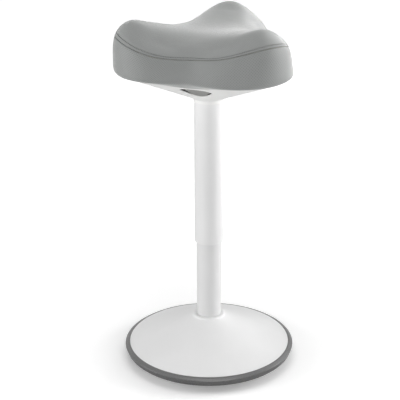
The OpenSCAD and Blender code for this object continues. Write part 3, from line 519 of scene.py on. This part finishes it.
# %% [markdown]
# ## Rubber rim
# The rim is a rubber moulding that guards the edge. Seen close it has a sloping upper face, a thin
# ridge at its widest line and a face that turns in below, which is why it shows two greys with a
# light line between. Its outline is a list of corners, as shares of its width and height, and each
# corner is eased, the ridge's by less. A step inside it holds the cover's edge, and the dish's
# upstand fills the rest.

# %% Rubber rim
RIM_W, RIM_LOW_Z = 9.7 * MM, 15.8 * MM
RIM_H, RIM_IN_R, RIM_IN_Z = RIM_TOP_Z - RIM_LOW_Z, EDGE_R + 0.15 * MM, RIM_TOP_Z - 0.35 * MM
DISH_OUT_R, STEP_R, STEP_Z = 167.95 * MM, 157.8 * MM, 26.0 * MM
FACE_BELOW = [(0.36, 0), (0.60, 0.11), (0.74, 0.34), (0.76, 0.61)]
RIDGE = [(0.92, 0.65), (1, 0.68), (0.96, 0.76), (0.88, 0.79)]
FACE_ABOVE = [(0.76, 0.83), (0.45, 0.94), (0.1, 0.98)]
OUTLINE_SHARES = np.array(FACE_BELOW + RIDGE + FACE_ABOVE)
outside = OUTLINE_SHARES * [RIM_W, RIM_H] + [EDGE_R, RIM_LOW_Z]
inside = [(RIM_IN_R, RIM_IN_Z), (RIM_IN_R, EDGE_Z), (STEP_R, EDGE_Z)]
inside += [(STEP_R, STEP_Z), (DISH_OUT_R, STEP_Z), (DISH_OUT_R, RIM_LOW_Z)]
cuts = np.full(len(outside) + len(inside), 0.8 * MM)
cuts[len(FACE_BELOW) - 1 : len(FACE_BELOW + RIDGE) + 1] = 0.3 * MM
rim = piece("rubber_rim", [revolved(rounded([*outside, *inside], cuts), 300)], RIM_RUBBER)
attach(rim, "base")
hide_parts("rim_ring")

# %% [markdown]
# ## Column tubes
# Two steel tubes with a satin white coat. They are plain, so what makes them look real is the small
# radius at each end, where light gathers in a thin line, and the grain of the coat.

# %% Column tubes
TUBE_R, TUBE_BORE_R, LIP_R, TUBE_TOP_Z = 25 * MM, 23 * MM, 21 * MM, 392 * MM
FLANGE_TOP_Z, LIP_TOP_Z = 31.0 * MM, 34.0 * MM
SLEEVE_R, SLEEVE_BORE_R, SLEEVE_LOW_Z, SLEEVE_TOP_Z = 28.85 * MM, 27.35 * MM, 257.7 * MM, 572 * MM

lower = [(LIP_R, FLANGE_TOP_Z), (TUBE_R, FLANGE_TOP_Z), (TUBE_R, TUBE_TOP_Z)]
lower += [(TUBE_BORE_R, TUBE_TOP_Z), (TUBE_BORE_R, LIP_TOP_Z), (LIP_R, LIP_TOP_Z)]
lower_tube = piece("white_lower_tube", [revolved(rounded(lower, 0.4 * MM), 160)], POWDER_COAT)
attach(lower_tube, "base")
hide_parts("lower_tube")

wall = [(SLEEVE_BORE_R, SLEEVE_LOW_Z), (SLEEVE_R, SLEEVE_LOW_Z)]
wall += [(SLEEVE_R, SLEEVE_TOP_Z), (SLEEVE_BORE_R, SLEEVE_TOP_Z)]
sleeve = piece("white_sleeve", [revolved(rounded(wall, 1.3 * MM), 180)], SLEEVE_COAT)
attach(sleeve, "seat")
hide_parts("upper_sleeve")

# %% [markdown]
# ## The cushion's section
# Seen from above the cushion has three lobes, one at the back and one for each thigh, with shallow
# valleys between. Cut it anywhere through the column and the outline is a smooth curve over eight
# control points. Going round, each control point swings out and up with cos 3a, and a little with
# cos 6a for the flatter fronts. A cubic B-spline runs through the eight and its slope gives the
# normal, so any depth inside the cushion is one step along it. The cloth, the foam and the pan's
# rim all come from this one function, and can't drift apart.

# %% Cushion section
SEAT_Z, SEAT_R, LOBE_R, CUSHION_H, LOBE_RISE = 617.4 * MM, 167 * MM, 26 * MM, 83 * MM, 20 * MM
RADIUS_SHARES = np.array([0, 0.329, 0.629, 0.765, 0.939, 0.978, 1.001, 0.895])
RADIUS_LOBE = np.array([0, 0, 0.54, 0.667, 1.21, 0.88, 0.893, 1.037])
RADIUS_FLAT = np.array([0, 0, 0.16, 0.093, -0.105, -0.071, -0.146, -0.186])
HEIGHT_SHARES = np.array([0.958, 1.006, 1.015, 0.954, 0.789, 0.275, 0.038, -0.012])
HEIGHT_LOBE = np.array([0, 0, 0.635, 1.033, 0.76, 0.103, -0.095, 0.16])
HEIGHT_FLAT = np.array([0, 0, 0.05, 0.448, 0.081, 0.075, 0.024, -0.125])
LAST = 7
STEP_LENGTH = 0.43 * CUSHION_H


def section(t, a, depth=0.0):
    """(radius, height) at steps t down the section and angles a, as one grid, pushed in by depth.
    t has one value a row, or one for each row and angle. Spline weights at fraction u are (1-u)^3,
    3u^3-6u^2+4, -3u^3+3u^2+3u+1 and u^3, over 6; the derivative of each gives the slope, and the
    slope turned a quarter gives the inward normal."""
    lobe, flat = np.cos(3 * a), np.cos(6 * a)
    swing_r = np.outer(RADIUS_LOBE, lobe) + np.outer(RADIUS_FLAT, flat)
    swing_z = np.outer(HEIGHT_LOBE, lobe) + np.outer(HEIGHT_FLAT, flat)
    r = SEAT_R * RADIUS_SHARES[:, None] + LOBE_R * swing_r
    z = CUSHION_H * HEIGHT_SHARES[:, None] + LOBE_RISE * swing_z
    r = np.vstack([-r[1], r, 2 * r[-1] - r[-2]])
    z = np.vstack([z[1], z, 2 * z[-1] - z[-2]])
    t = t if np.ndim(t) == 2 else np.asarray(t, float)[:, None] + 0 * a
    k = np.minimum(np.floor(t).astype(int), LAST - 1)
    u = t - k
    weight = np.stack([(1 - u) ** 3, 3 * u**3 - 6 * u**2 + 4, -3 * u**3 + 3 * u**2 + 3 * u + 1, u**3]) / 6
    slope = np.stack([-((1 - u) ** 2), 3 * u**2 - 4 * u, -3 * u**2 + 2 * u + 1, u**2]) / 2
    near = k + np.arange(4)[:, None, None], np.arange(len(a))
    point_r, point_z = ((weight * c[near]).sum(0) for c in (r, z))
    slope_r, slope_z = ((slope * c[near]).sum(0) for c in (r, z))
    size = np.hypot(slope_r, slope_z) + 1e-12
    depth = np.asarray(depth, float)
    depth = depth[:, None] if depth.ndim == 1 else depth
    return point_r + slope_z / size * depth, SEAT_Z + point_z - slope_r / size * depth


def bell(a, at, narrow):
    """exp(narrow (cos(a - at) - 1)): a bell curve that is 1 at `at` degrees and closes round the
    circle."""
    return np.exp(narrow * (np.cos(a - math.radians(at)) - 1))


SEAM_STEP, CLIMB_RIGHT, CLIMB_BACK = 4.01, 0.165, 0.12
HALF_SEAM, SEAM_NARROWS = 3.1, 0.9


def seam_at(a):
    """Step of the seam's middle line. The photographed seam isn't even: it climbs by a few
    millimetres right of the front and again behind."""
    return SEAM_STEP - CLIMB_RIGHT * bell(a, 155, 8.4) - CLIMB_BACK * bell(a, 35, 16)


def seam_half(a):
    """Half the seam's width in steps: 3.1 mm, and down to 2.2 mm at the right."""
    return (HALF_SEAM - SEAM_NARROWS * bell(a, 115, 5)) * MM / STEP_LENGTH


def placed(r, z, a):
    """Points (r sin a, r cos a, z) from a radius, a height and an angle."""
    return np.stack([r * np.sin(a), r * np.cos(a), z + 0 * r], -1)


angles = once_round(360)
edge_r, edge_z = (v[0] for v in section(np.array([float(LAST)]), angles))


def in_cushion(t, depth=0.0, a=angles):
    """Points of the cushion at steps t of its section, pushed in by depth."""
    return placed(*section(t, a, depth), a)


print(f"seat edge underneath: radius {edge_r.min():.3f} to {edge_r.max():.3f} m")

# %% [markdown]
# ## Cloth panels
# The top panel and the side band are two pieces of cloth, each 1.2 mm thick, sewn along a line that
# runs round the shoulder. Near a seam real cloth is drawn in: it sinks gently over about a
# centimetre and turns down sharply in its last millimetre. Both falls die away with the distance
# from the seam and are added to the depth of the outer face. The inner face goes deeper there too,
# or it would show beside the seam. The rows of the grid stand close together there. Everything
# starts a little too small, because a simulation swells it further on.

# %% Cloth panels
CLOTH_T = 1.2 * MM
SEAM_PULL, TOP_ROLL, SIDE_ROLL = 0.7 * MM, 0.7 * MM, 1.8 * MM
PULL_FALL, ROLL_FALL, LINING_FALL, HELD_FALL = 7 * MM, 0.5 * MM, 1 * MM, 9 * MM
OPEN_ABOVE, OPEN_BELOW, GIRTH = 0.65, 0.72, 0.96
from_seam = np.array([0, 0.25, 0.5, 0.8, 1.2, 1.7, 2.4, 3.5, 5, 7, 10, 14, 19]) * MM


def along(points):
    """Distance run along each column of a grid, from its first row."""
    steps = np.linalg.norm(np.diff(points, axis=0), axis=-1)
    return np.vstack([np.zeros(points.shape[1]), np.cumsum(steps, 0)])


def band_map(down):
    """The cloth's map for a closed band: metres round it, and `down` at each row."""
    return np.stack(np.broadcast_arrays(np.linspace(0, GIRTH, len(angles) + 1), down[:, None]), -1)


seam, half_seam = seam_at(angles), seam_half(angles)
TOP_SWELL, SIDE_SWELL = 0.9 * MM, 0.7 * MM


def slack(t):
    """How much smaller the cushion starts than it ends: 0.9 mm above the seam and 0.7 mm below it,
    falling to nothing at the seam and at the bottom edge by a bell curve of 9 mm."""
    held = [np.exp(-(((t - line) * STEP_LENGTH / HELD_FALL) ** 2)) for line in (seam, LAST)]
    swell = np.where(t < seam, TOP_SWELL, SIDE_SWELL) * (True)
    return swell * (1 - held[0]) * (1 - held[1])


def panel(t, distance, roll):
    """A panel's outer face and, upside down, its inner face, at a distance from the seam. The outer
    one is drawn in by a slow pull and a quick roll. The inner one lies deeper by the cloth's
    thickness, and by more where its edge is turned down."""
    outer = SEAM_PULL * np.exp(-distance / PULL_FALL) + roll * np.exp(-distance / ROLL_FALL)
    inner = slack(t) + (CLOTH_T + 0.9 * roll * np.exp(-distance / LINING_FALL))
    return in_cushion(t, slack(t) + outer), in_cushion(t[::-1], inner[::-1])


print(f"seam at steps {seam.min():.2f} to {seam.max():.2f} of {LAST}")

# %% Top panel
open_top = np.linspace(0, 1, 44)[:, None] * (seam - OPEN_ABOVE)
t_top = np.vstack([open_top, seam - half_seam - from_seam[::-1, None] / STEP_LENGTH])
off_top = (seam - half_seam - t_top) * STEP_LENGTH
top_face, top_back = panel(t_top, off_top, TOP_ROLL)
run = along(top_face)
run = np.vstack([run, run[::-1]])
run, full_turn = np.column_stack([run, run[:, 0]]), np.append(angles, 0)
top_uv = np.stack([run * np.sin(full_turn), run * np.cos(full_turn)], -1)
top_cloth = piece("top_cloth", [(np.vstack([top_face, top_back]), True, False, top_uv)], TOP_CLOTH)

# %% Side band
TUCK_W, BOARD_Z, BOARD_T = 14 * MM, 621.6 * MM, 12 * MM
open_side = (seam + OPEN_BELOW) + np.linspace(0, 1, 34)[:, None] * (LAST - seam - OPEN_BELOW)
t_side = np.vstack([seam + half_seam + from_seam[:, None] / STEP_LENGTH, open_side])
off_side = (t_side - seam - half_seam) * STEP_LENGTH
side_face, side_back = panel(t_side, off_side, SIDE_ROLL)
tuck_r = edge_r - TUCK_W * np.array([0.5, 1, 1, 0.5])[:, None]
flat = 0 * edge_z + BOARD_Z
tuck_z = np.stack([(edge_z + BOARD_Z - CLOTH_T) / 2, flat - CLOTH_T, flat, (edge_z + CLOTH_T + BOARD_Z) / 2])
side_grid = np.vstack([side_face, placed(tuck_r, tuck_z, angles), side_back])
down = along(side_grid).mean(1)
side_uv = band_map(np.append(down, down[-1] + CLOTH_T))
side_cloth = piece("side_cloth", [(side_grid, True, True, side_uv)], SIDE_CLOTH)

# %% [markdown]
# ## Seam strip and stitches
# Between the panels lies a strip of folded cloth about 6 mm wide, sewn down along both its edges,
# and narrower at the right. Its cross-section is a low crown that drops at the edges. The stitches
# are hundreds of short threads, so each is a spindle of a few faces. The same small shape is placed
# along the line and turned to follow it, by adding three directions times its own coordinates.

# %% Seam strip
STRIP_INSET, STRIP_BACK, STRIP_GIRTH = 0.15 * MM, 1.9 * MM, 11 * MM
STRIP_DEPTH, STRIP_LEAN, STRIP_EDGE = 0.45, 0.15, 1.2
crown = np.linspace(-1, 1, 11)
t_strip = seam + crown[:, None] * (half_seam - STRIP_INSET / STEP_LENGTH)
strip_depth = (STRIP_DEPTH - STRIP_LEAN * crown + STRIP_EDGE * crown**10) * MM
strip_grid = np.vstack([in_cushion(t_strip, strip_depth), in_cushion(t_strip[::-1], STRIP_BACK)])
strip_uv = band_map(np.linspace(0, STRIP_GIRTH, len(strip_grid) + 1))
seam_strip = piece("seam_strip", [(strip_grid, True, True, strip_uv)], SEAM_CLOTH)

# %% Stitches
STITCHES, STITCH_LENGTH, THREAD_R = 330, 2.5 * MM, 0.28 * MM
STITCH_INSET, STITCH_SUNK, STITCH_WIDER = 0.35 * MM, 0.6, 1.2


def walked_round(line):
    """Distance run along a closed line, from its first point round and back to it."""
    return np.concatenate([[0], np.cumsum(np.linalg.norm(np.roll(line, -1, 0) - line, axis=1))])


def stitch_row(side_of_seam, depth):
    """All stitches of one row, above (-1) or below (1) the seam's middle, as points (stitch, ring,
    side): a spindle along the seam's own direction, whose radius is the sine of the way along it."""
    fine = once_round(4000)
    row_at = (seam_at(fine) + side_of_seam * (seam_half(fine) - STITCH_INSET / STEP_LENGTH))[None, :]
    line, deep = in_cushion(row_at, depth, fine)[0], in_cushion(row_at, depth + MM, fine)[0]
    walked = walked_round(line)
    at = np.interp(np.arange(STITCHES) / STITCHES * walked[-1], walked, np.arange(len(walked)))
    at = at.astype(int) % len(line)
    middle, out = line[at], line[at] - deep[at]
    ahead = np.roll(line, -1, 0)[at] - np.roll(line, 1, 0)[at]
    ahead, out = (v / np.linalg.norm(v, axis=1)[:, None] for v in (ahead, out))
    side = np.cross(ahead, out)
    w = np.linspace(0, 1, 7)[None, :, None, None]
    turn = once_round(6)[None, None, :, None]
    size = THREAD_R * np.sqrt(np.sin(math.pi * w).clip(0))
    middle, ahead, side, out = (v[:, None, None, :] for v in (middle, ahead, side, out))
    arch = THREAD_R * (np.sin(math.pi * w) - STITCH_SUNK)
    along_it, across_it = (w - 0.5) * STITCH_LENGTH, size * np.sin(turn) * STITCH_WIDER
    return middle + ahead * along_it + out * (arch + size * np.cos(turn)) + side * across_it


rows = [*stitch_row(-1, 0.55 * MM), *stitch_row(1, 0.45 * MM)]
# painted shade: the stitches get the darkened thread finish
seam_stitches = piece("seam_stitches", rows, THREAD_WITH_GROOVE_SHADE)

# %% [markdown]
# ## Foam pad
# The foam fills the cover and has a recess for the plywood board. It is the same section again,
# pushed in by the thickness of the cloth, with a shallow groove under the seam.

# %% Foam pad
SKIN = CLOTH_T + 0.15 * MM
RECESS_OUT, GROOVE, GROOVE_FALL = 4.5 * MM, 2.2 * MM, 6 * MM
BESIDE, FOAM_TO, FOAM_LOW = 0.35, 6.5, 6.75
by_seam = np.array([-0.25, -0.16, -0.08, 0, 0.08, 0.16, 0.25])[:, None]
up, down = np.linspace(0, 1, 34)[:, None], np.linspace(0, 1, 24)[:, None]
beyond = seam + BESIDE + down * (FOAM_TO - seam - BESIDE)
t_foam = np.vstack([up * (seam - BESIDE), seam + by_seam, beyond])
groove = GROOVE * np.exp(-(((t_foam - seam) * STEP_LENGTH / GROOVE_FALL) ** 2))
foam_r, foam_z = section(t_foam, angles, slack(t_foam) + SKIN + groove)
_, low_z = section(np.array([FOAM_LOW]), angles, SKIN + 0.3 * MM)
recess_r = edge_r + RECESS_OUT
board_top = BOARD_Z + BOARD_T
foam_r = np.vstack([foam_r, recess_r, recess_r, recess_r * 0.5, recess_r * 0])
foam_z = np.vstack([foam_z, low_z, *[edge_r * 0 + board_top] * 3])
foam_pad = piece("foam_pad", [placed(foam_r, foam_z, angles)], FOAM)

# %% [markdown]
# ## The cushion swells
# Foam pressed into a cover pushes back, and the cloth bulges between the lines that hold it. That is
# a job for Blender's cloth simulation: a closed skin with even faces, blown up from inside, with no
# gravity. The skin is held at the seam and at the bottom edge, and no point may move further than
# the cushion was made too small. The fine pieces don't go through the simulation themselves, because
# the even faces would rub out the seam. They are tied to the skin by Surface Deform and follow it.


# %% Skin for the simulation
def evaluated(made):
    """The object as its modifiers leave it."""
    return made.evaluated_get(bpy.context.evaluated_depsgraph_get())


def simulation_skin(voxel=5 * MM):
    """The cushion's outer surface, closed underneath by a flat floor, remeshed to even faces."""
    t = np.linspace(0, LAST, 90)[:, None] + 0 * angles
    r, z = section(t, angles, slack(t))
    r, z = np.vstack([r, edge_r * 0.6, edge_r * 0]), np.vstack([z, edge_z, edge_z * 0 + edge_z.mean()])
    made = piece("cushion_skin", [placed(r, z, angles)], FOAM)
    remesh = made.modifiers.new("even_faces", "REMESH")
    remesh.mode, remesh.voxel_size = "VOXEL", voxel
    even = bpy.data.meshes.new_from_object(evaluated(made))
    work = bmesh.new()
    work.from_mesh(even)
    bmesh.ops.triangulate(work, faces=work.faces)
    work.to_mesh(even)
    work.free()
    made.modifiers.clear()
    made.data = even
    print(f"skin: {len(even.vertices)} points")
    return made


# %% Places and their smoothing
def places(mesh):
    """All points of a mesh as rows of x, y, z."""
    flat = np.empty(len(mesh.vertices) * 3)
    mesh.vertices.foreach_get("co", flat)
    return flat.reshape(-1, 3)


def evened(way, mesh, free, times=14):
    """A few times over, each free point takes half of its own way and half of its neighbours' mean,
    which rubs out the small ripples that the size of the faces gives."""
    ends = np.empty(len(mesh.edges) * 2, int)
    mesh.edges.foreach_get("vertices", ends)
    a, b = ends.reshape(-1, 2).T
    neighbours = np.bincount(ends, minlength=len(way))[:, None]
    for _ in range(times):
        total = np.zeros_like(way)
        np.add.at(total, a, way[b])
        np.add.at(total, b, way[a])
        way = free[:, None] * (way + total / neighbours) / 2
    return way


# %% Cloth simulation
PRESSURE, STIFFNESS, CUT_LARGER = 8, 5, 0.015
HELD_AT_SEAM, HELD_AT_EDGE = 4 * MM, 5 * MM


def swell(skin, most, frames=20):
    """Places of the skin's points after the simulation. Each point's way is cut to `most`. The cloth
    is cut 1.5 in 100 larger than the skin, because a double curve hardly stretches."""
    start = places(skin.data)
    line = in_cushion(seam[None, :])[0]
    to_seam = np.sqrt(((start[:, None, :] - line[None, ::2]) ** 2).sum(-1).min(1))
    bearing = np.arctan2(start[:, 0], start[:, 1])
    above_edge = start[:, 2] - np.interp(bearing, angles, edge_z, period=2 * math.pi)
    free = (to_seam > HELD_AT_SEAM) & (above_edge > HELD_AT_EDGE)
    held = skin.vertex_groups.new(name="sewn_and_stapled")
    held.add(np.flatnonzero(~free).tolist(), 1.0, "REPLACE")
    cloth = skin.modifiers.new("cloth", "CLOTH").settings
    cloth.vertex_group_mass = held.name
    cloth.use_pressure = True
    cloth.uniform_pressure_force = PRESSURE
    cloth.tension_stiffness = cloth.compression_stiffness = cloth.bending_stiffness = STIFFNESS
    cloth.shrink_min = -CUT_LARGER
    cloth.effector_weights.gravity = 0
    for number in range(1, frames + 1):
        scene.frame_set(number)
    end = places(evaluated(skin).data)
    scene.frame_set(1)
    skin.modifiers.clear()
    way = end - start
    length = np.linalg.norm(way, axis=1)[:, None]
    middle = np.median(length[free]) * 1000
    print(f"moved: middle {middle:.1f} mm, most {length.max() * 1000:.1f} mm before the cut")
    return start + evened(way * np.minimum(1, most / np.maximum(length, 1e-9)), skin.data, free)


# %% Swell the cushion
skin = simulation_skin()
swollen = swell(skin, TOP_SWELL)
followers = (top_cloth, side_cloth, seam_strip, seam_stitches, foam_pad)
for follower in followers:
    tie = follower.modifiers.new("tied_to_skin", "SURFACE_DEFORM")
    tie.target = skin
    with bpy.context.temp_override(object=follower, active_object=follower):
        bpy.ops.object.surfacedeform_bind(modifier=tie.name)
    print(follower.name, "tied" if tie.is_bound else "NOT TIED")
skin.data.vertices.foreach_set("co", swollen.ravel())
skin.data.update()
for follower in followers:
    moved = places(evaluated(follower).data)
    follower.modifiers.clear()
    follower.data.vertices.foreach_set("co", moved.ravel())
    follower.data.update()
bpy.data.objects.remove(skin)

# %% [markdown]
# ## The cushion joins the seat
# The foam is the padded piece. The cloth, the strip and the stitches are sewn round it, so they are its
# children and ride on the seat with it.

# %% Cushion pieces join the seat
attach(foam_pad, "seat")
for child, slot, *nodes in [
    (top_cloth, "cloth_top", "top_panel"),
    (side_cloth, "cloth_side", "side_band"),
    (seam_strip, "seam", "seam_welt"),
    (seam_stitches, "seam"),
]:
    child.parent = foam_pad
    child["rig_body"] = "seat"
    if nodes:
        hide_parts(*nodes)
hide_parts("seat_foam")
print(len(foam_pad.children), "pieces are sewn round", foam_pad.name)

# %% [markdown]
# ## Under pan
# A white moulding closes the seat from below. A short neck grips the sleeve, flares, and then runs
# straight out and up to the cushion's edge, so above every point of the floor plan it has one
# height. That makes the opening simple: the surface is left out in a window, and rings of points
# fill it from the window's frame inwards to the opening's outline. They are placed in the plan, and
# the height function lifts them on to the surface. A last quarter turn rounds the opening's edge.
# The outline is a string pulled round three circles, which is how a rounded triangle is drawn. In
# the photograph it stands a few millimetres to the right of the middle.

# %% Pan height over the plan
PAN_BORE_R, NECK_R, NECK_Z = 29.0 * MM, 30.0 * MM, 554 * MM
CONE_R, CONE_Z, PAN_T = 32.0 * MM, 561.7 * MM, 2.5 * MM
PAN_GAP = 0.3 * MM
OPENING_CIRCLES = [(-12, -97.7), (21.6, -94.9), (4.3, -79.4)], [12.4, 15.5, 18.7]


def pan_height(x, y, inner=False):
    """Height of the pan's lower face over the plan: a straight line from the cone's foot to the rim
    at that angle. The inner face is higher by the wall over the cosine of the slope."""
    a, r = np.arctan2(x, y), np.hypot(x, y)
    rim_r, rim_z = (v.reshape(np.shape(a)) for v in section(np.array([float(LAST)]), np.ravel(a)))
    slope = (rim_z - PAN_GAP - CONE_Z) / (rim_r - CONE_R)
    return CONE_Z + (r - CONE_R) * slope + inner * PAN_T * np.sqrt(1 + slope**2)


def hull(middles, radii, turn):
    """A string pulled round circles, whose places and radii come in millimetres. In each direction n
    it reaches the furthest of circle middle . n + radius, which is where its tangent lies."""
    n = np.stack([np.cos(turn), np.sin(turn)], 1)
    middles, radii = np.array(middles) * MM, np.array(radii) * MM
    best = np.argmax(n @ middles.T + radii, 1)
    return middles[best] + n * radii[best][:, None]


def opening_outline(x, y, centre):
    """For plan points x, y: the point of the opening's outline in the same direction from its
    centre. The hull's points are first spread evenly, or its straight sides would have only two."""
    line = hull(*OPENING_CIRCLES, once_round(1440)) - centre
    walked = walked_round(line)
    even = np.linspace(0, walked[-1], 3000, endpoint=False)
    line = np.stack([np.interp(even, walked, [*side, side[0]]) for side in line.T], 1)
    bearing = np.unwrap(np.arctan2(line[:, 1], line[:, 0]))
    order = np.argsort(bearing)
    asked = np.arctan2(y - centre[1], x - centre[0])
    far = np.interp(asked, bearing[order], np.hypot(*line.T)[order], period=2 * math.pi)
    return centre[0] + far * np.cos(asked), centre[1] + far * np.sin(asked)


print(f"pan under the front rim: {pan_height(0.0, -0.112) * 1000:.1f} mm")

# %% Pan skins with a window
CONE_ROWS = 24
WINDOW_ROWS, WINDOW_COLUMNS = (3, 24), (148, 212)
HOLE_CENTRE = np.array([4 * MM, -88 * MM])
EDGE_ROUND, INNER_ROUND = 1.1 * MM, 0.4 * MM
rim_slope = (edge_z - PAN_GAP - CONE_Z) / (edge_r - CONE_R)
rim_land = PAN_T * np.sqrt(1 + rim_slope**2) / rim_slope
share = np.linspace(0.05, 1, CONE_ROWS + 1)[:, None]
print(f"land round the pan's rim: {rim_land.min() * 1000:.1f} to {rim_land.max() * 1000:.1f} mm")


def window_patch(grid, inner, rounding):
    """Rings from the window's frame to the opening: shares of the way in the plan, close together
    at the edge, then a quarter turn of the given radius into the opening. The frame runs once
    round: bottom row, right side, top row back, left side."""
    (low, high), (left, right) = WINDOW_ROWS, WINDOW_COLUMNS
    bottom, top = grid[low, left:right], grid[high, right:left:-1]
    x, y, _ = np.concatenate([bottom, grid[low:high, right], top, grid[high:low:-1, left]]).T
    hole = np.stack(opening_outline(x, y, HOLE_CENTRE), 1)
    out = np.stack([x, y], 1) - hole
    length = np.linalg.norm(out, axis=1)[:, None]
    out = out / length
    way = np.array([1, 0.8, 0.6, 0.42, 0.27, 0.15, 0.07])[:, None, None]
    turn = np.linspace(0, math.pi / 2, 6)[:, None, None]
    rings = hole + out * (rounding + way * (length - rounding))
    curl = hole + out * rounding * (1 - np.sin(turn))
    plan = np.concatenate([rings, curl])
    z = pan_height(plan[..., 0], plan[..., 1], inner)
    inwards = -rounding if inner else rounding
    z[len(way) :] += inwards * (1 - np.cos(turn[..., 0]))
    return np.concatenate([plan, z[..., None]], -1)


def cone_with_window(inner):
    """Grid of the straight cone from near its foot to the rim, and the same in three parts that
    leave the window open: the rows below and above it, and the long way round beside it. The inner
    face stops short of the rim by the land that joins the two faces."""
    r = CONE_R + share * (edge_r - (rim_land if inner else 0) - CONE_R)
    x, y = r * np.sin(angles), r * np.cos(angles)
    grid = np.stack([x, y, pan_height(x, y, inner)], -1)
    (low, high), (left, right) = WINDOW_ROWS, WINDOW_COLUMNS
    rows = grid[low : high + 1]
    beside = np.concatenate([rows[:, right:], rows[:, : left + 1]], 1)
    return grid, [grid[: low + 1], (beside, False, False, None), grid[high:]]


# %% Close the pan
outer_grid, outer_parts = cone_with_window(False)
inner_grid, inner_parts = cone_with_window(True)
inner_patch = window_patch(inner_grid, True, INNER_ROUND)[::-1]
patch = np.vstack([window_patch(outer_grid, False, EDGE_ROUND), inner_patch])
foot_r = NECK_R + np.array([0, 0, 0.15, 0.55, 1.3])[:, None] * MM
foot_z = NECK_Z + np.array([0, 2.8, 4.6, 6.2, 7.3])[:, None] * MM
neck = placed(foot_r + 0 * angles, foot_z + 0 * angles, angles)
bore_z = np.array([CONE_Z + PAN_T, CONE_Z, NECK_Z])[:, None]
bore_wall = placed(PAN_BORE_R + 0 * bore_z + 0 * angles, bore_z + 0 * angles, angles)
neck_skin = np.concatenate([inner_grid[:1], bore_wall, neck, outer_grid[:1]])
rim_wall = np.concatenate([outer_grid[-1:], inner_grid[-1:]])
PAN_BOSS_AT, PAN_BOSS_R = 99.5 * MM, 5 * MM


def pan_boss(a):
    """A post from inside the pan up to the board, at angle a."""
    x, y = PAN_BOSS_AT * math.sin(a), PAN_BOSS_AT * math.cos(a)
    return post(x, y, float(pan_height(x, y, True)) - MM, BOARD_Z, PAN_BOSS_R)


pan_bosses = [pan_boss(a) for a in np.arange(3) * 2 * math.pi / 3]
grids = [*outer_parts, *inner_parts, patch, neck_skin, rim_wall, *pan_bosses]
under_pan = piece("white_pan", grids, PAN_PLASTIC)
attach(under_pan, "seat")
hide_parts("under_pan")

# %% [markdown]
# ## Release paddle
# Fingers reach up through the opening and lift a grey plate. Its inner end is nearly level with the
# pan, and from there it leans further in, so that a gap for the fingertips opens along its outer
# edge. It is slightly dished too. Its outline is drawn like the opening's, from three smaller
# circles. The plate is a polar grid: share 0 is its middle, share 1 its outline, and the edge rolls
# over a half circle to the upper face. A block on top takes the rivets that hold it to the lever.

# %% Release paddle
PADDLE_OFF, PADDLE_T, DISH_DEPTH = 0.9 * MM, 3.0 * MM, 0.8 * MM
PADDLE_IN, PADDLE_TILT, UPRIGHT = -61.9 * MM, 0.113, 1.16
PADDLE_CIRCLES = [(-9, -91.5), (18.4, -88.6), (4.3, -79.4)], [9.6, 12.5, 17.5]


def paddle_height(x, y):
    """Lower face of the plate before it is dished: 0.9 mm above the pan's at its inner end, and
    11 parts in 100 more for every step out from there."""
    return pan_height(x, y) + PADDLE_OFF + PADDLE_TILT * (PADDLE_IN - y)


turn = once_round(144)
rim_line = hull(*PADDLE_CIRCLES, turn)
plate_middle = rim_line.mean(0)
half = PADDLE_T / 2
outwards = rim_line - plate_middle
inset = outwards / np.linalg.norm(outwards, axis=1)[:, None] * half
inner_line = rim_line - inset
spoke = inner_line - plate_middle
face = np.linspace(0, 1, 12)[:-1, None, None]
roll = np.linspace(-math.pi / 2, math.pi / 2, 9)[:, None, None]
lower, upper = plate_middle + face * spoke, plate_middle + face[::-1] * spoke
plan = np.concatenate([lower, inner_line + inset * np.cos(roll), upper])
face, roll = face[..., 0], roll[..., 0]
lift = np.concatenate([0 * face, half * (1 + np.sin(roll)), 0 * face + PADDLE_T])
scoop = np.concatenate([1 - face**2, 0 * roll, 1 - face[::-1] ** 2])
plate_z = paddle_height(plan[..., 0], plan[..., 1]) + lift * UPRIGHT + DISH_DEPTH * scoop
plate = np.concatenate([plan, plate_z[..., None]], -1)
print("plate:", *(f"{v * 1000:.0f} mm" for v in np.ptp(rim_line, 0)))

# %% Block for the rivets
BLOCK_X, BLOCK_OUT, BLOCK_IN, BLOCK_TOP = 10 * MM, -85.2 * MM, -62.8 * MM, 602 * MM
corners = [(-BLOCK_X, BLOCK_OUT), (BLOCK_X, BLOCK_OUT), (BLOCK_X, BLOCK_IN), (-BLOCK_X, BLOCK_IN)]
column = rounded(corners, 2 * MM)
low_z = paddle_height(column[:, 0], column[:, 1]) + PADDLE_T
flat, middle = 0 * low_z, column.mean(0) + 0 * column
foot = [np.column_stack([middle, flat + low_z.mean()]), np.column_stack([column, low_z])]
top = [np.column_stack([line, flat + BLOCK_TOP]) for line in (column, middle)]
block = np.stack([*foot, *top])
paddle = piece("grey_paddle", [plate, block], PADDLE_PLASTIC)
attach(paddle, "lever")
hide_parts("lever_paddle")

# %% [markdown]
# ## Finishes for the pieces inside
# All the other pieces keep the mesh that came with the model and get the finish of what they are
# made of. The record names a material for each, so one table turns its names into finishes.

# %% Finish the hidden pieces
FINISH_OF = {
    "white_cover": COVER_PLASTIC, "white_steel": POWDER_COAT, "white_pan": PAN_PLASTIC, "foam": FOAM,
    "rubber": RIM_RUBBER, "nylon": NYLON, "iron": CAST_IRON, "steel": ZINC, "brass": BRASS,
    "lift_steel": GROUND_STEEL, "dark_steel": BLACK_COAT, "plywood": PLYWOOD,
    "cloth_top": TOP_CLOTH, "cloth_side": SIDE_CLOTH, "seam": SEAM_CLOTH, "paddle": PADDLE_PLASTIC,
}
for part in frame["record"]["subparts"]:
    kept = frame["nodes"][part["node"]]
    kept.data.materials.clear()
    kept.data.materials.append(FINISH_OF[part["material_slot"]])
